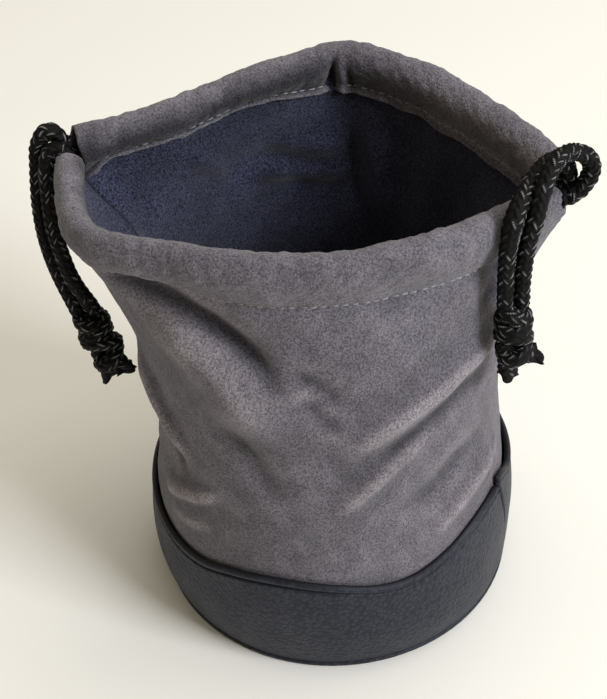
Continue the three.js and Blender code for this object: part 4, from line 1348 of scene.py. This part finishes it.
class POUCH_OT_knots(bpy.types.Operator):
    """Make the knots and the cut ends"""

    bl_idname = "pouch.knots"
    bl_label = "Knots"

    def execute(self, context):
        build_knots(context.scene.pouch_cord)
        return {"FINISHED"}


class POUCH_OT_suede(bpy.types.Operator):
    """Make the suede with its folded hems"""

    bl_idname = "pouch.suede"
    bl_label = "Suede"

    def execute(self, context):
        build_suede(context.scene.pouch_cloth)
        return {"FINISHED"}


class POUCH_OT_lining(bpy.types.Operator):
    """Make the lining"""

    bl_idname = "pouch.lining"
    bl_label = "Lining"

    def execute(self, context):
        build_lining(context.scene.pouch_cloth)
        return {"FINISHED"}


class POUCH_OT_band(bpy.types.Operator):
    """Make the pebbled band"""

    bl_idname = "pouch.band"
    bl_label = "Band"

    def execute(self, context):
        build_band(context.scene.pouch_band)
        return {"FINISHED"}


class POUCH_OT_base(bpy.types.Operator):
    """Make the base"""

    bl_idname = "pouch.base"
    bl_label = "Base"

    def execute(self, context):
        build_base(context.scene.pouch_cloth, context.scene.pouch_band)
        return {"FINISHED"}


class POUCH_OT_stitches(bpy.types.Operator):
    """Make the stitches"""

    bl_idname = "pouch.stitches"
    bl_label = "Stitches"

    def execute(self, context):
        build_stitches(context.scene.pouch_cloth)
        return {"FINISHED"}


GROUPS = {
    "pouch_cloth": PouchCloth,
    "pouch_band": PouchBand,
    "pouch_cord": PouchCord,
    "pouch_stage": PouchStage,
}
STEPS = (
    POUCH_OT_stage,
    POUCH_OT_strands,
    POUCH_OT_knots,
    POUCH_OT_suede,
    POUCH_OT_lining,
    POUCH_OT_band,
    POUCH_OT_base,
    POUCH_OT_stitches,
)


class POUCH_PT_panel(bpy.types.Panel):
    """Steps and sizes of the pouch"""

    bl_idname = "POUCH_PT_panel"
    bl_label = "Lens pouch"
    bl_space_type = "VIEW_3D"
    bl_region_type = "UI"
    bl_category = "Pouch"

    def draw(self, context):
        for step in STEPS:
            self.layout.operator(step.bl_idname)
        for group in GROUPS:
            settings = getattr(context.scene, group)
            for key in settings.__annotations__:
                self.layout.prop(settings, key)


CLASSES = (*GROUPS.values(), *STEPS, POUCH_PT_panel)


def register():
    """Adds the classes and the settings of the scene."""
    for cls in CLASSES:
        bpy.utils.register_class(cls)
    for name, group in GROUPS.items():
        setattr(bpy.types.Scene, name, PointerProperty(type=group))


def unregister():
    """Takes the settings and the classes away again."""
    for name in GROUPS:
        delattr(bpy.types.Scene, name)
    for cls in reversed(CLASSES):
        bpy.utils.unregister_class(cls)


def main():
    """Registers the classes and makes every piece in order."""
    register()
    bpy.ops.pouch.stage()
    bpy.ops.pouch.strands()
    bpy.ops.pouch.knots()
    bpy.ops.pouch.suede()
    bpy.ops.pouch.lining()
    bpy.ops.pouch.band()
    bpy.ops.pouch.base()
    bpy.ops.pouch.stitches()


if __name__ == "__main__":
    main()
